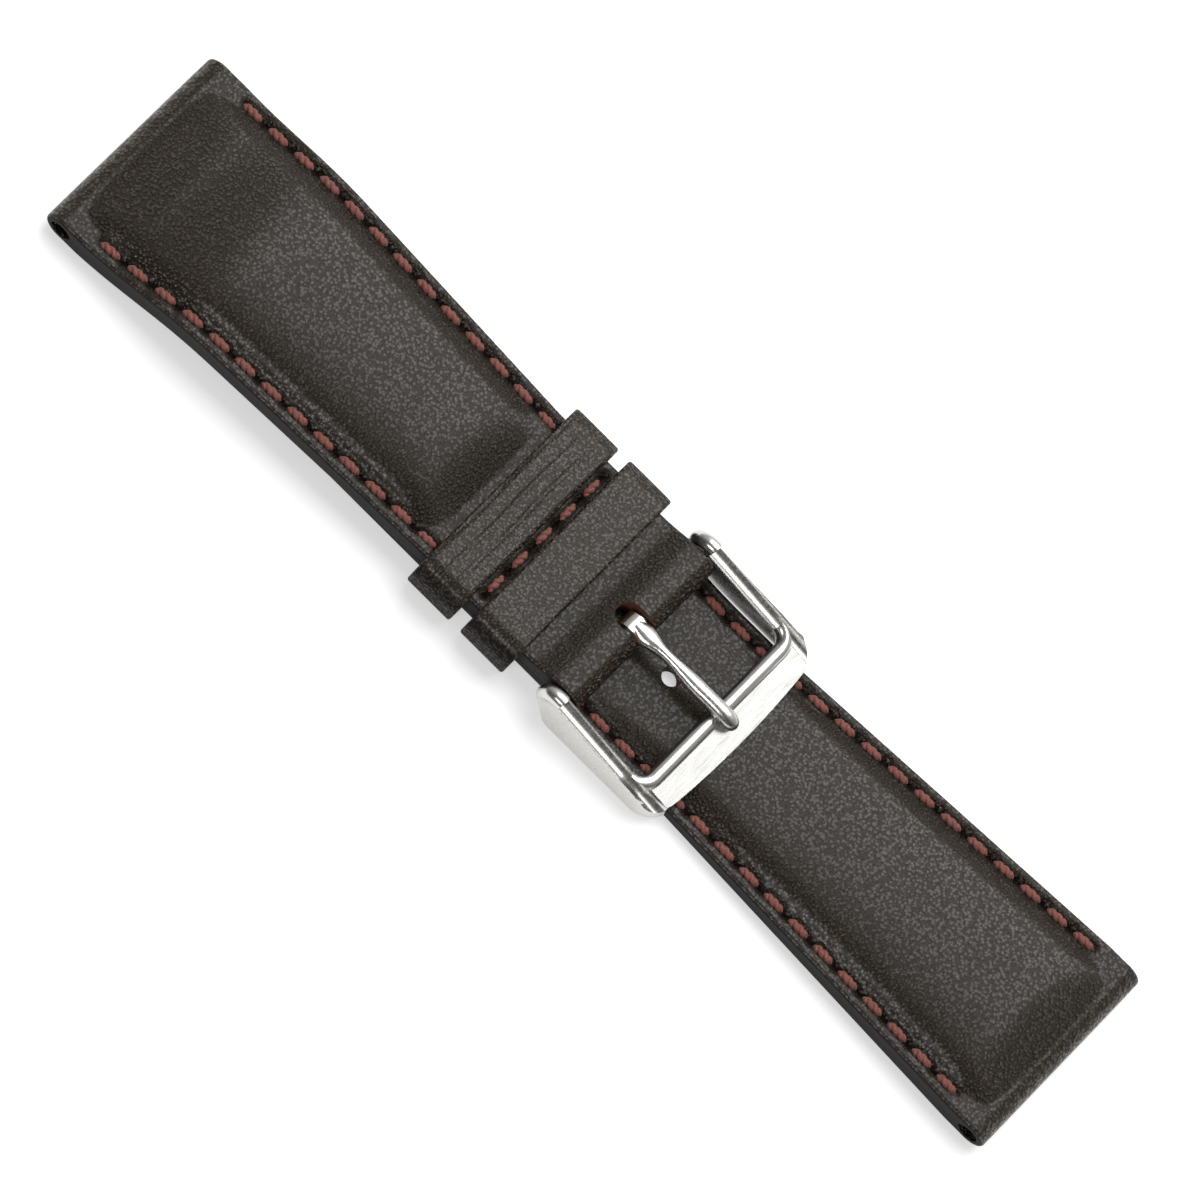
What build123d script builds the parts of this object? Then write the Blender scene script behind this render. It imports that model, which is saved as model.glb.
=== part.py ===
from build123d import *
from math import acos, atan2, cos, degrees, hypot, radians, sin
import os

os.makedirs("parts", exist_ok=True)

# A padded leather watch strap, lying closed. X runs along the strap, from the lug end of the
# buckle half to the lug end of the tail half. Z is up, and the strap lies on the plane Z = 0.
# The tail half passes under the front bar of the buckle, under the fold of the buckle half and
# through both keepers, as the strap lies in its packing.

# Driving dimensions, in millimetres
laid_length = 142.4
lug_width = 26.0
fold_width = 22.4
tail_width = 22.0
buckle_half_length = 76.2
tail_half_length = 115.0
lug_thickness = 4.3
fold_thickness = 2.8
tail_thickness = 1.9

# Leathers, in thickness
upper_leather = 1.0
turned_leather = 1.1
lining_leather = 0.7
lining_recess = 0.05
keeper_leather = 1.1
rim_width = 1.0

# Gaps between soft pieces that move past each other
soft_gap = 0.12
overrun = 5.0

# Lug tunnels
tunnel_radius = 1.3
tunnel_turn_under = 2.6
straight_lug = 5.0

# Padding under the upper leather
crown_height = 1.4
pad_shoulder = 2.9
pad_skin = 0.8
crown_sink = 0.4
crown_steps = 12
crown_dip = 0.1
crown_ends = 0.05
short_up_share = 0.13
short_down_share = 0.16
tail_up_share = 0.82
tail_down_share = 0.11
margin = 2.35

# Stitching
stitch_inset = 1.6
stitch_pitch = 3.85
stitch_length = 2.75
stitch_width = 0.9
stitch_height = 0.4
stitch_seat = 0.04
groove_width = 1.1
lug_to_stitches = 6.2

# Keepers
keeper_width = 6.4
keeper_round = 2.2
keeper_inner_round = 0.5
keeper_spacing = 1.65
keeper_from_bar = 6.6
keeper_setback = 1.7
keeper_side_gap = 1.0
keeper_strip_inset = 1.0

# Spring bar
bar_radius = 0.75
bar_slack = 0.1
bar_bore_radius = 0.52
bar_collar = 0.5
tip_radius = 0.4
tip_flange_radius = 0.47
tip_flange_length = 0.5
tip_play = 0.04
tip_reach = 1.0
spring_coil_radius = 0.38
spring_wire_radius = 0.07
spring_pitch = 1.2

# Buckle frame
ear_gap = 22.8
ear_core_radius = 2.0
ear_hole_depth = 1.3
ear_hole_radius = 0.45
frame_reach = 17.35
frame_half_width = 13.62
frame_taper = 6.0
front_clearance = 0.12
front_bar_height = 1.75
front_edge = 0.3
front_bulge = 0.8
leg_foot = 1.1
heel_radius = 1.3
heel_setback = 1.0
arch_corner = 0.6
bead_radius = 0.95
bead_proud = 0.06
bead_corner = 2.2
bead_arc_radius = 1.8
bead_end_angle = 205.0
flank_front = 3.3
flank_corner = 3.6
crease_out = 0.72
crease_up = 0.3

# Tongue
tongue_eye_radius = 1.6
tongue_eye_width = 1.9
tongue_play = 0.05
tongue_rise = 0.95
tongue_arch = 0.12
tongue_rear_radius = 0.84
tongue_front_radius = 1.04
tongue_tip_radius = 0.5
tongue_tip_out = 2.1
tongue_tip_drop = 1.2
slot_width = 3.0
slot_setback = 2.75
notch_depth = 0.25
notch_play = 0.06

# Adjustment holes in the tail
hole_radius = 1.1
hole_pitch = 6.5
hole_count = 7
last_hole_from_tip = 23.0

# Heights of the stack in the keepers, from the ground up
tail_lift = keeper_leather + soft_gap
fold_low = tail_lift + tail_thickness + soft_gap
fold_top = fold_low + fold_thickness
keeper_top = fold_top + soft_gap + keeper_leather

# Places along the strap
lug_x = laid_length / 2
bar_x = buckle_half_length - lug_x
loop_radius = bar_radius + bar_slack + turned_leather
bar_z = fold_low + loop_radius
fold_end = bar_x + loop_radius
tip_x = lug_x - tail_half_length
fixed_keeper_x = bar_x - keeper_from_bar - keeper_width
free_keeper_x = fixed_keeper_x - keeper_spacing - keeper_width
fold_row_x = fixed_keeper_x - keeper_spacing / 2
turned_end = fold_row_x - keeper_spacing
pad_end = free_keeper_x - keeper_spacing / 2
tube_radius = lug_thickness / 2
tube_x = lug_x - tube_radius
tunnel_end = tube_x - tunnel_turn_under


def ease(value, low, high):
    """Rise smoothly from 0 at low to 1 at high, level at both ends."""
    share = min(max((value - low) / (high - low), 0), 1)
    return share ** 3 * (10 - 15 * share + 6 * share ** 2)


def slope(value, low, high, start, end):
    """Go in a straight line from start at low to end at high, level outside them."""
    share = min(max((value - low) / (high - low), 0), 1)
    return start + (end - start) * share


# The buckle half rises over the tip of the tail and stays up to the fold
climb_start = -tube_x
climb_end = tip_x - straight_lug / 2
loop_swell = 2 * loop_radius - fold_thickness


def short_low(x):
    return fold_low * ease(x, climb_start, climb_end)


def short_high(x):
    body = slope(x, -tunnel_end, pad_end, lug_thickness, fold_thickness)
    swell = loop_swell * ease(x, fixed_keeper_x + keeper_width, bar_x)
    return short_low(x) + body + swell


# The tail half comes down from the keepers to the ground before the front bar
drop_start = fixed_keeper_x + keeper_width + keeper_setback
drop_end = bar_x + frame_reach / 2
body_start = bar_x + frame_reach * 3 / 4


def long_low(x):
    return tail_lift * (1 - ease(x, drop_start, drop_end))


def long_high(x):
    thin = slope(x, drop_start, body_start, tail_thickness, tail_thickness + crown_height / 4)
    thick = slope(x, body_start, tunnel_end, 0, lug_thickness - tail_thickness - crown_height / 4)
    return long_low(x) + thin + thick


def short_half_width(x):
    return slope(x, -lug_x + straight_lug, pad_end, lug_width, fold_width) / 2


def long_half_width(x):
    return slope(x, body_start, lug_x - straight_lug, tail_width, lug_width) / 2


def stations(start, end, count):
    """Evenly spaced places from start to end, both included."""
    return [start + (end - start) * step / count for step in range(count + 1)]


def side_band(places, low, high):
    """Face in the XZ plane between two height curves that are level at both ends."""
    first, last = places[0], places[-1]
    with BuildSketch(Plane.XZ) as band:
        with BuildLine():
            Spline(*[(x, low(x)) for x in places], tangents=[(1, 0), (1, 0)])
            Line((last, low(last)), (last, high(last)))
            Spline(*[(x, high(x)) for x in reversed(places)], tangents=[(-1, 0), (-1, 0)])
            Line((first, high(first)), (first, low(first)))
        make_face()
    return band.sketch


def short_plan(inset, start, end):
    """Outline of the buckle half seen from above, drawn in by inset at its sides."""
    corner_x = -lug_x + straight_lug
    half_lug = lug_width / 2 - inset
    half_fold = fold_width / 2 - inset
    with BuildSketch(Plane.XY) as plan:
        with BuildLine():
            Polyline(
                (start, -half_lug), (corner_x, -half_lug), (pad_end, -half_fold), (end, -half_fold),
                (end, half_fold), (pad_end, half_fold), (corner_x, half_lug), (start, half_lug),
                close=True,
            )
        make_face()
    return plan.sketch


tip_length = tail_width / 2
tip_nose = tail_width / 5
tip_dip = tip_nose / 5


def tail_plan(inset, end):
    """Outline of the tail half seen from above, with its rounded tip, drawn in by inset."""
    corner_x = lug_x - straight_lug
    half_lug = lug_width / 2 - inset
    half_tail = tail_width / 2 - inset
    nose_x = tip_x + inset
    bow_x = tip_x + tip_length / 3 + inset
    with BuildSketch(Plane.XY) as plan:
        with BuildLine():
            right = Polyline(
                (tip_x + tip_length, -half_tail), (body_start, -half_tail),
                (corner_x, -half_lug), (end, -half_lug),
            )
            left = Polyline(
                (end, half_lug), (corner_x, half_lug),
                (body_start, half_tail), (tip_x + tip_length, half_tail),
            )
            Line(right @ 1, left @ 0)
            nose_left = ThreePointArc(left @ 1, (bow_x, half_tail * 3 / 4), (nose_x + tip_dip, tip_nose))
            nose_right = ThreePointArc(
                (nose_x + tip_dip, -tip_nose), (bow_x, -half_tail * 3 / 4), right @ 0
            )
            ThreePointArc(nose_left @ 1, (nose_x, 0), nose_right @ 0)
        make_face()
    return plan.sketch


def crown_section(x, half_width, base, height, sink):
    """Cross section of the padding: two rounded shoulders and a gently domed top."""
    shoulder = min(pad_shoulder, half_width / 2)
    with BuildSketch(Plane.YZ.offset(x)) as section:
        with BuildLine():
            foot = Polyline((-half_width, base), (-half_width, base - sink), (half_width, base - sink),
                            (half_width, base))
            right = ThreePointArc(
                foot @ 1,
                (half_width - shoulder * 3 / 8, base + height * 5 / 9),
                (half_width - shoulder, base + height * 6 / 7),
            )
            left = ThreePointArc(
                (-half_width + shoulder, base + height * 6 / 7),
                (-half_width + shoulder * 3 / 8, base + height * 5 / 9),
                foot @ 0,
            )
            ThreePointArc(right @ 1, (0, base + height), left @ 0)
        make_face()
    return section.sketch


def rise(share, up_share, down_share):
    """Height of the padding as a share of the crown, rising over up and falling over down."""
    up = sin(radians(90 * min(share / up_share, 1)))
    down = sin(radians(90 * min((1 - share) / down_share, 1)))
    return up * down


def crown_sections(shares, start, end, half_width, high, skin):
    """Sections of the padding from start to end, closer together at its ends."""
    sections = []
    for step in range(crown_steps + 1):
        along = (1 - cos(radians(180 * step / crown_steps))) / 2
        x = start + (end - start) * along
        height = crown_ends + crown_height * rise(along, *shares)
        base = high(x) - skin - crown_dip
        sections.append(crown_section(x, half_width(x) - margin - skin / 2, base, height, crown_sink))
    return sections


short_crown_shares = (short_up_share, short_down_share)
tail_crown_shares = (tail_up_share, tail_down_share)
short_pad_start = -tube_x
tail_pad_start = drop_start + keeper_setback
long_pad_end = tube_x


# Shared tools, made once and cut from or added to the pieces below
short_places = stations(-tube_x, bar_x, 30)
tail_places = stations(tip_x - overrun, tube_x, 40)
groove_depth = stitch_height + stitch_seat
groove_low = stitch_inset - groove_width / 2
groove_high = stitch_inset + groove_width / 2

with BuildPart() as short_crown:
    loft(crown_sections(short_crown_shares, short_pad_start, pad_end, short_half_width, short_high, 0))

with BuildPart() as short_pad_space:
    loft(crown_sections(
        short_crown_shares, -tunnel_end + pad_skin, pad_end - pad_skin, short_half_width, short_high, pad_skin
    ))

with BuildPart() as tail_crown:
    loft(crown_sections(tail_crown_shares, tail_pad_start, long_pad_end, long_half_width, long_high, 0))

with BuildPart() as tail_pad_space:
    loft(crown_sections(
        tail_crown_shares, tail_pad_start + pad_skin, tunnel_end, long_half_width, long_high, pad_skin
    ))

# Room of the lining and the filler in the buckle half, cut in one go
with BuildPart() as short_inside:
    extrude(side_band(
        short_places, lambda x: short_low(x) - overrun, lambda x: short_high(x) - upper_leather
    ), amount=lug_width, both=True)
    extrude(
        short_plan(rim_width, -tunnel_end, turned_end), amount=keeper_top * 2, both=True, mode=Mode.INTERSECT
    )

first_stitch_end = -lug_x + lug_to_stitches
last_stitch_end = lug_x - lug_to_stitches

with BuildPart() as short_grooves:
    extrude(side_band(
        stations(first_stitch_end, turned_end, 20),
        lambda x: short_high(x) - groove_depth, lambda x: short_high(x) + overrun,
    ), amount=lug_width, both=True)
    extrude(
        short_plan(groove_low, -lug_x, fold_end), amount=keeper_top * 2, both=True, mode=Mode.INTERSECT
    )
    extrude(
        short_plan(groove_high, -lug_x, fold_end), amount=keeper_top * 2, both=True, mode=Mode.SUBTRACT
    )

with BuildPart() as tail_grooves:
    extrude(side_band(
        stations(tip_x - overrun, last_stitch_end, 30),
        lambda x: long_high(x) - groove_depth, lambda x: long_high(x) + overrun,
    ), amount=lug_width, both=True)
    extrude(tail_plan(groove_low, lug_x), amount=keeper_top * 2, both=True, mode=Mode.INTERSECT)
    extrude(tail_plan(groove_high, lug_x), amount=keeper_top * 2, both=True, mode=Mode.SUBTRACT)

with BuildPart() as adjusting_holes:
    for number in range(hole_count):
        with BuildSketch(Plane.XY):
            with Locations((tip_x + last_hole_from_tip + number * hole_pitch, 0)):
                Circle(hole_radius)
    extrude(amount=keeper_top, both=True)


# Keepers: leather loops round the buckle half and the tail half
keeper_inner_half = fold_width / 2 + keeper_side_gap
strip_start = fixed_keeper_x + keeper_strip_inset
strip_length = keeper_width - 2 * keeper_strip_inset

with BuildPart() as free_keeper:
    with BuildSketch(Plane.YZ.offset(free_keeper_x)):
        with Locations((0, keeper_top / 2)):
            RectangleRounded(2 * (keeper_inner_half + keeper_leather), keeper_top, keeper_round)
            RectangleRounded(
                2 * keeper_inner_half, keeper_top - 2 * keeper_leather, keeper_inner_round,
                mode=Mode.SUBTRACT,
            )
    extrude(amount=keeper_width)
free_keeper.part.label = "free_keeper"
export_step(free_keeper.part, "parts/free_keeper.step")

# The fixed keeper has a strip that is caught between the two leathers of the fold
with BuildPart() as fixed_keeper:
    with BuildSketch(Plane.YZ.offset(fixed_keeper_x)):
        with Locations((0, keeper_top / 2)):
            RectangleRounded(2 * (keeper_inner_half + keeper_leather), keeper_top, keeper_round)
            RectangleRounded(
                2 * keeper_inner_half, keeper_top - 2 * keeper_leather, keeper_inner_round,
                mode=Mode.SUBTRACT,
            )
    extrude(amount=keeper_width)
    with BuildSketch(Plane.YZ.offset(strip_start)):
        with Locations((0, fold_low + turned_leather)):
            Rectangle(
                2 * keeper_inner_half, fold_thickness - turned_leather - upper_leather,
                align=(Align.CENTER, Align.MIN),
            )
    extrude(amount=strip_length)
fixed_keeper.part.label = "fixed_keeper"
export_step(fixed_keeper.part, "parts/fixed_keeper.step")


# Buckle half: lining, filler, padding and upper leather
with BuildPart() as buckle_half_lining:
    extrude(side_band(
        short_places, lambda x: short_low(x) + lining_recess, lambda x: short_low(x) + lining_leather
    ), amount=lug_width, both=True)
    extrude(
        short_plan(rim_width, -tunnel_end, turned_end), amount=keeper_top * 2, both=True, mode=Mode.INTERSECT
    )
buckle_half_lining.part.label = "buckle_half_lining"
export_step(buckle_half_lining.part, "parts/buckle_half_lining.step")

with BuildPart() as buckle_half_filler:
    extrude(side_band(
        short_places, lambda x: short_low(x) + lining_leather, lambda x: short_high(x) - upper_leather
    ), amount=lug_width, both=True)
    extrude(
        short_plan(rim_width, -tunnel_end, turned_end), amount=keeper_top * 2, both=True, mode=Mode.INTERSECT
    )
    with BuildSketch(Plane.XZ):
        with Locations((turned_end, fold_low + turned_leather)):
            Rectangle(
                strip_start - turned_end, fold_thickness - turned_leather - upper_leather,
                align=(Align.MIN, Align.MIN),
            )
    extrude(amount=fold_width / 2, both=True)
buckle_half_filler.part.label = "buckle_half_filler"
export_step(buckle_half_filler.part, "parts/buckle_half_filler.step")

with BuildPart() as buckle_half_pad:
    add(short_pad_space.part)
    extrude(side_band(
        short_places, lambda x: short_low(x) - overrun, lambda x: short_high(x) - upper_leather
    ), amount=lug_width, both=True, mode=Mode.SUBTRACT)
buckle_half_pad.part.label = "buckle_half_pad"
export_step(buckle_half_pad.part, "parts/buckle_half_pad.step")

with BuildPart() as buckle_half_upper:
    extrude(side_band(short_places, short_low, short_high), amount=lug_width, both=True)
    with BuildSketch(Plane.XZ):
        with Locations((-tube_x, tube_radius)):
            Circle(tube_radius)
        with Locations((bar_x, bar_z)):
            Circle(loop_radius)
    extrude(amount=lug_width, both=True)
    extrude(
        short_plan(0, -lug_x - overrun, fold_end + overrun), amount=keeper_top * 2, both=True,
        mode=Mode.INTERSECT,
    )
    add(short_crown.part)
    add(short_pad_space.part, mode=Mode.SUBTRACT)
    add(short_inside.part, mode=Mode.SUBTRACT)
    add(buckle_half_filler.part, mode=Mode.SUBTRACT)
    add(fixed_keeper.part, mode=Mode.SUBTRACT)
    add(short_grooves.part, mode=Mode.SUBTRACT)
    with BuildSketch(Plane.XZ):
        with Locations((-tube_x, tube_radius)):
            Circle(tunnel_radius)
        with Locations((bar_x, bar_z)):
            Circle(bar_radius + bar_slack)
    extrude(amount=lug_width, both=True, mode=Mode.SUBTRACT)
    with BuildSketch(Plane.XY):
        with Locations((bar_x - slot_setback + slot_width / 2, 0)):
            Circle(slot_width / 2)
            Rectangle(slot_setback + overrun, slot_width, align=(Align.MIN, Align.CENTER))
    extrude(amount=keeper_top * 2, both=True, mode=Mode.SUBTRACT)
    with BuildSketch(Plane.XY.offset(fold_top - groove_depth)):
        with Locations((fold_row_x, 0)):
            Rectangle(groove_width, fold_width - 2 * groove_low)
    extrude(amount=groove_depth + overrun, mode=Mode.SUBTRACT)
buckle_half_upper.part.label = "buckle_half_upper"
export_step(buckle_half_upper.part, "parts/buckle_half_upper.step")


# Tail half: lining, filler, padding and upper leather
with BuildPart() as tail_lining:
    extrude(side_band(
        tail_places, lambda x: long_low(x) + lining_recess, lambda x: long_low(x) + lining_leather
    ), amount=lug_width, both=True)
    extrude(tail_plan(rim_width, tunnel_end), amount=keeper_top * 2, both=True, mode=Mode.INTERSECT)
    add(adjusting_holes.part, mode=Mode.SUBTRACT)
tail_lining.part.label = "tail_lining"
export_step(tail_lining.part, "parts/tail_lining.step")

with BuildPart() as tail_filler:
    extrude(side_band(
        tail_places, lambda x: long_low(x) + lining_leather, lambda x: long_high(x) - upper_leather
    ), amount=lug_width, both=True)
    extrude(tail_plan(rim_width, tunnel_end), amount=keeper_top * 2, both=True, mode=Mode.INTERSECT)
    add(adjusting_holes.part, mode=Mode.SUBTRACT)
tail_filler.part.label = "tail_filler"
export_step(tail_filler.part, "parts/tail_filler.step")

with BuildPart() as tail_pad:
    add(tail_pad_space.part)
    extrude(side_band(
        tail_places, lambda x: long_low(x) - overrun, lambda x: long_high(x) - upper_leather
    ), amount=lug_width, both=True, mode=Mode.SUBTRACT)
    add(adjusting_holes.part, mode=Mode.SUBTRACT)
tail_pad.part.label = "tail_pad"
export_step(tail_pad.part, "parts/tail_pad.step")

# Room of the lining and the filler in the tail half, cut in one go
with BuildPart() as tail_inside:
    extrude(side_band(
        tail_places, lambda x: long_low(x) - overrun, lambda x: long_high(x) - upper_leather
    ), amount=lug_width, both=True)
    extrude(tail_plan(rim_width, tunnel_end), amount=keeper_top * 2, both=True, mode=Mode.INTERSECT)

with BuildPart() as tail_upper:
    extrude(side_band(tail_places, long_low, long_high), amount=lug_width, both=True)
    with BuildSketch(Plane.XZ):
        with Locations((tube_x, tube_radius)):
            Circle(tube_radius)
    extrude(amount=lug_width, both=True)
    extrude(tail_plan(0, lug_x + overrun), amount=keeper_top * 2, both=True, mode=Mode.INTERSECT)
    add(tail_crown.part)
    add(tail_pad_space.part, mode=Mode.SUBTRACT)
    add(tail_inside.part, mode=Mode.SUBTRACT)
    add(tail_grooves.part, mode=Mode.SUBTRACT)
    with BuildSketch(Plane.XZ):
        with Locations((tube_x, tube_radius)):
            Circle(tunnel_radius)
    extrude(amount=lug_width, both=True, mode=Mode.SUBTRACT)
    add(adjusting_holes.part, mode=Mode.SUBTRACT)
tail_upper.part.label = "tail_upper"
export_step(tail_upper.part, "parts/tail_upper.step")


# Stitches: each visible stitch is a short thread lying in the groove
def stitch_plane(x, y, turn, high):
    """Plane on the groove's floor under a stitch, turned about Z and tilted to the leather."""
    step = stitch_length / 4
    lean = atan2(high(x + step * cos(turn)) - high(x - step * cos(turn)), 2 * step)
    along = Vector(cos(turn) * cos(lean), sin(turn) * cos(lean), sin(lean))
    across = Vector(-sin(turn), cos(turn), 0)
    return Plane((x, y, high(x) - stitch_height), x_dir=along, z_dir=along.cross(across))


def stitch_outline(height, narrow):
    """Eight-cornered outline of a stitch, at a height over its foot and drawn in by narrow."""
    half_length = stitch_length / 2 - narrow
    half_width = stitch_width / 2 - narrow
    with BuildSketch(Plane.XY.offset(height)) as outline:
        with BuildLine():
            Polyline(
                (-half_length, -half_width / 2), (-half_length + half_width, -half_width),
                (half_length - half_width, -half_width), (half_length, -half_width / 2),
                (half_length, half_width / 2), (half_length - half_width, half_width),
                (-half_length + half_width, half_width), (-half_length, half_width / 2),
                close=True,
            )
        make_face()
    return outline.sketch


with BuildPart() as stitch:
    loft([stitch_outline(0, 0), stitch_outline(stitch_height, stitch_width / 5)], ruled=True)

short_stitches = int((turned_end - first_stitch_end - stitch_length) / stitch_pitch) + 1
tail_side_stitches = int((last_stitch_end - tip_x - tip_length) / stitch_pitch)
short_turn = atan2((lug_width - fold_width) / 2, pad_end + lug_x - straight_lug)
tail_turn = atan2((lug_width - tail_width) / 2, lug_x - straight_lug - body_start)


def short_row_planes(side):
    """Stitches along one side of the buckle half, side being 1 for left and -1 for right."""
    planes = []
    for number in range(short_stitches):
        x = first_stitch_end + stitch_length / 2 + number * stitch_pitch
        turn = -side * short_turn if x < pad_end else 0
        planes.append(stitch_plane(x, side * (short_half_width(x) - stitch_inset), turn, short_high))
    return planes


def tail_row_planes(side):
    """Stitches along one side of the tail half."""
    planes = []
    for number in range(tail_side_stitches):
        x = last_stitch_end - stitch_length / 2 - number * stitch_pitch
        turn = side * tail_turn if x > body_start else 0
        planes.append(stitch_plane(x, side * (long_half_width(x) - stitch_inset), turn, long_high))
    return planes


def tip_row_planes():
    """Stitches round the tip of the tail half, evenly spaced between its two side rows."""
    edge = tail_width / 2 - stitch_inset
    last_x = last_stitch_end - stitch_length / 2 - (tail_side_stitches - 1) * stitch_pitch
    nose_x = tip_x + stitch_inset
    bow_x = tip_x + tip_length / 3 + stitch_inset
    with BuildLine(mode=Mode.PRIVATE) as path:
        lead = Line((last_x, edge), (tip_x + tip_length, edge))
        fall = ThreePointArc(lead @ 1, (bow_x, edge * 3 / 4), (nose_x + tip_dip, tip_nose))
        nose = ThreePointArc(fall @ 1, (nose_x, 0), (nose_x + tip_dip, -tip_nose))
        climb = ThreePointArc(nose @ 1, (bow_x, -edge * 3 / 4), (tip_x + tip_length, -edge))
        Line(climb @ 1, (last_x, -edge))
    wire = path.wires()[0]
    gaps = round(wire.length / stitch_pitch)
    planes = []
    for number in range(1, gaps):
        place = wire @ (number / gaps)
        heading = wire % (number / gaps)
        planes.append(stitch_plane(place.X, place.Y, atan2(heading.Y, heading.X), long_high))
    return planes


def fold_row_planes():
    """The row across the fold, between the keepers."""
    span = fold_width - 2 * groove_high - stitch_length
    gaps = round(span / stitch_pitch)
    return [
        stitch_plane(fold_row_x, (number - gaps / 2) * stitch_pitch, radians(90), lambda x: fold_top)
        for number in range(gaps + 1)
    ]


with BuildPart() as buckle_half_stitches_left:
    with Locations(short_row_planes(1)):
        add(stitch.part)
buckle_half_stitches_left.part.label = "buckle_half_stitches_left"
export_step(buckle_half_stitches_left.part, "parts/buckle_half_stitches_left.step")

with BuildPart() as buckle_half_stitches_right:
    with Locations(short_row_planes(-1)):
        add(stitch.part)
buckle_half_stitches_right.part.label = "buckle_half_stitches_right"
export_step(buckle_half_stitches_right.part, "parts/buckle_half_stitches_right.step")

with BuildPart() as fold_stitches:
    with Locations(fold_row_planes()):
        add(stitch.part)
fold_stitches.part.label = "fold_stitches"
export_step(fold_stitches.part, "parts/fold_stitches.step")

with BuildPart() as tail_stitches_left:
    with Locations(tail_row_planes(1)):
        add(stitch.part)
tail_stitches_left.part.label = "tail_stitches_left"
export_step(tail_stitches_left.part, "parts/tail_stitches_left.step")

with BuildPart() as tail_stitches_right:
    with Locations(tail_row_planes(-1)):
        add(stitch.part)
tail_stitches_right.part.label = "tail_stitches_right"
export_step(tail_stitches_right.part, "parts/tail_stitches_right.step")

with BuildPart() as tail_tip_stitches:
    with Locations(tip_row_planes()):
        add(stitch.part)
tail_tip_stitches.part.label = "tail_tip_stitches"
export_step(tail_tip_stitches.part, "parts/tail_tip_stitches.step")


# Spring bar: a tube with a sprung tip at each end
tube_half = fold_width / 2 - bar_slack
tip_seat = tube_half - bar_collar
tip_end = ear_gap / 2 + tip_reach
bar_axis = Axis((bar_x, 0, bar_z), (0, 1, 0))

with BuildPart() as spring_bar_tube:
    with BuildSketch(Plane.XY.offset(bar_z)):
        with Locations((bar_x, 0)):
            Rectangle(bar_radius, 2 * tube_half, align=(Align.MIN, Align.CENTER))
            Rectangle(bar_bore_radius, 2 * tip_seat, align=(Align.MIN, Align.CENTER), mode=Mode.SUBTRACT)
            Rectangle(
                tip_radius + tip_play, 2 * tube_half, align=(Align.MIN, Align.CENTER), mode=Mode.SUBTRACT
            )
    revolve(axis=bar_axis)
spring_bar_tube.part.label = "spring_bar_tube"
export_step(spring_bar_tube.part, "parts/spring_bar_tube.step")


def tip_profile(side):
    """Half section of a sprung tip, its flange behind the tube's collar, on one side."""
    with BuildSketch(Plane.XY.offset(bar_z)) as profile:
        with BuildLine():
            Polyline(
                (bar_x, side * (tip_seat - tip_flange_length)),
                (bar_x + tip_flange_radius, side * (tip_seat - tip_flange_length)),
                (bar_x + tip_flange_radius, side * tip_seat), (bar_x + tip_radius, side * tip_seat),
                (bar_x + tip_radius, side * (tip_end - tip_radius / 2)),
                (bar_x + tip_radius / 2, side * tip_end), (bar_x, side * tip_end),
                close=True,
            )
        make_face()
    return profile.sketch


with BuildPart() as spring_bar_tip_left:
    revolve(tip_profile(1), axis=bar_axis)
spring_bar_tip_left.part.label = "spring_bar_tip_left"
export_step(spring_bar_tip_left.part, "parts/spring_bar_tip_left.step")

with BuildPart() as spring_bar_tip_right:
    revolve(tip_profile(-1), axis=bar_axis)
spring_bar_tip_right.part.label = "spring_bar_tip_right"
export_step(spring_bar_tip_right.part, "parts/spring_bar_tip_right.step")

with BuildPart() as spring_bar_spring:
    spring_half = tip_seat - tip_flange_length - 2 * spring_wire_radius
    with BuildLine() as coil:
        Helix(
            spring_pitch, 2 * spring_half, spring_coil_radius, center=(bar_x, -spring_half, bar_z),
            direction=(0, 1, 0),
        )
    with BuildSketch(Plane(coil.wire() @ 0, z_dir=coil.wire() % 0)):
        RegularPolygon(spring_wire_radius, 6)
    sweep(is_frenet=True)
spring_bar_spring.part.label = "spring_bar_spring"
export_step(spring_bar_spring.part, "parts/spring_bar_spring.step")


# Buckle frame: two legs and a front bar, with a round bead along their top
front_low = fold_low + front_clearance
bead_x = bar_x + frame_reach - flank_front - bead_radius
bead_z = front_low + front_bar_height - bead_radius
bead_half = ear_gap / 2 + bead_radius - bead_proud
tangent_angle = atan2(bead_z - bar_z, bead_x - bar_x) + acos(
    bead_arc_radius / hypot(bead_x - bar_x, bead_z - bar_z)
)
tangent_x = bar_x + bead_arc_radius * cos(tangent_angle)
tangent_z = bar_z + bead_arc_radius * sin(tangent_angle)
leg_run = hypot(bead_x - tangent_x, bead_z - tangent_z)
leg_direction = Vector(bead_x - tangent_x, 0, bead_z - tangent_z).normalized()
bead_plane = Plane((tangent_x, 0, tangent_z), x_dir=leg_direction, z_dir=leg_direction.cross(Vector(0, 1, 0)))

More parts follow.
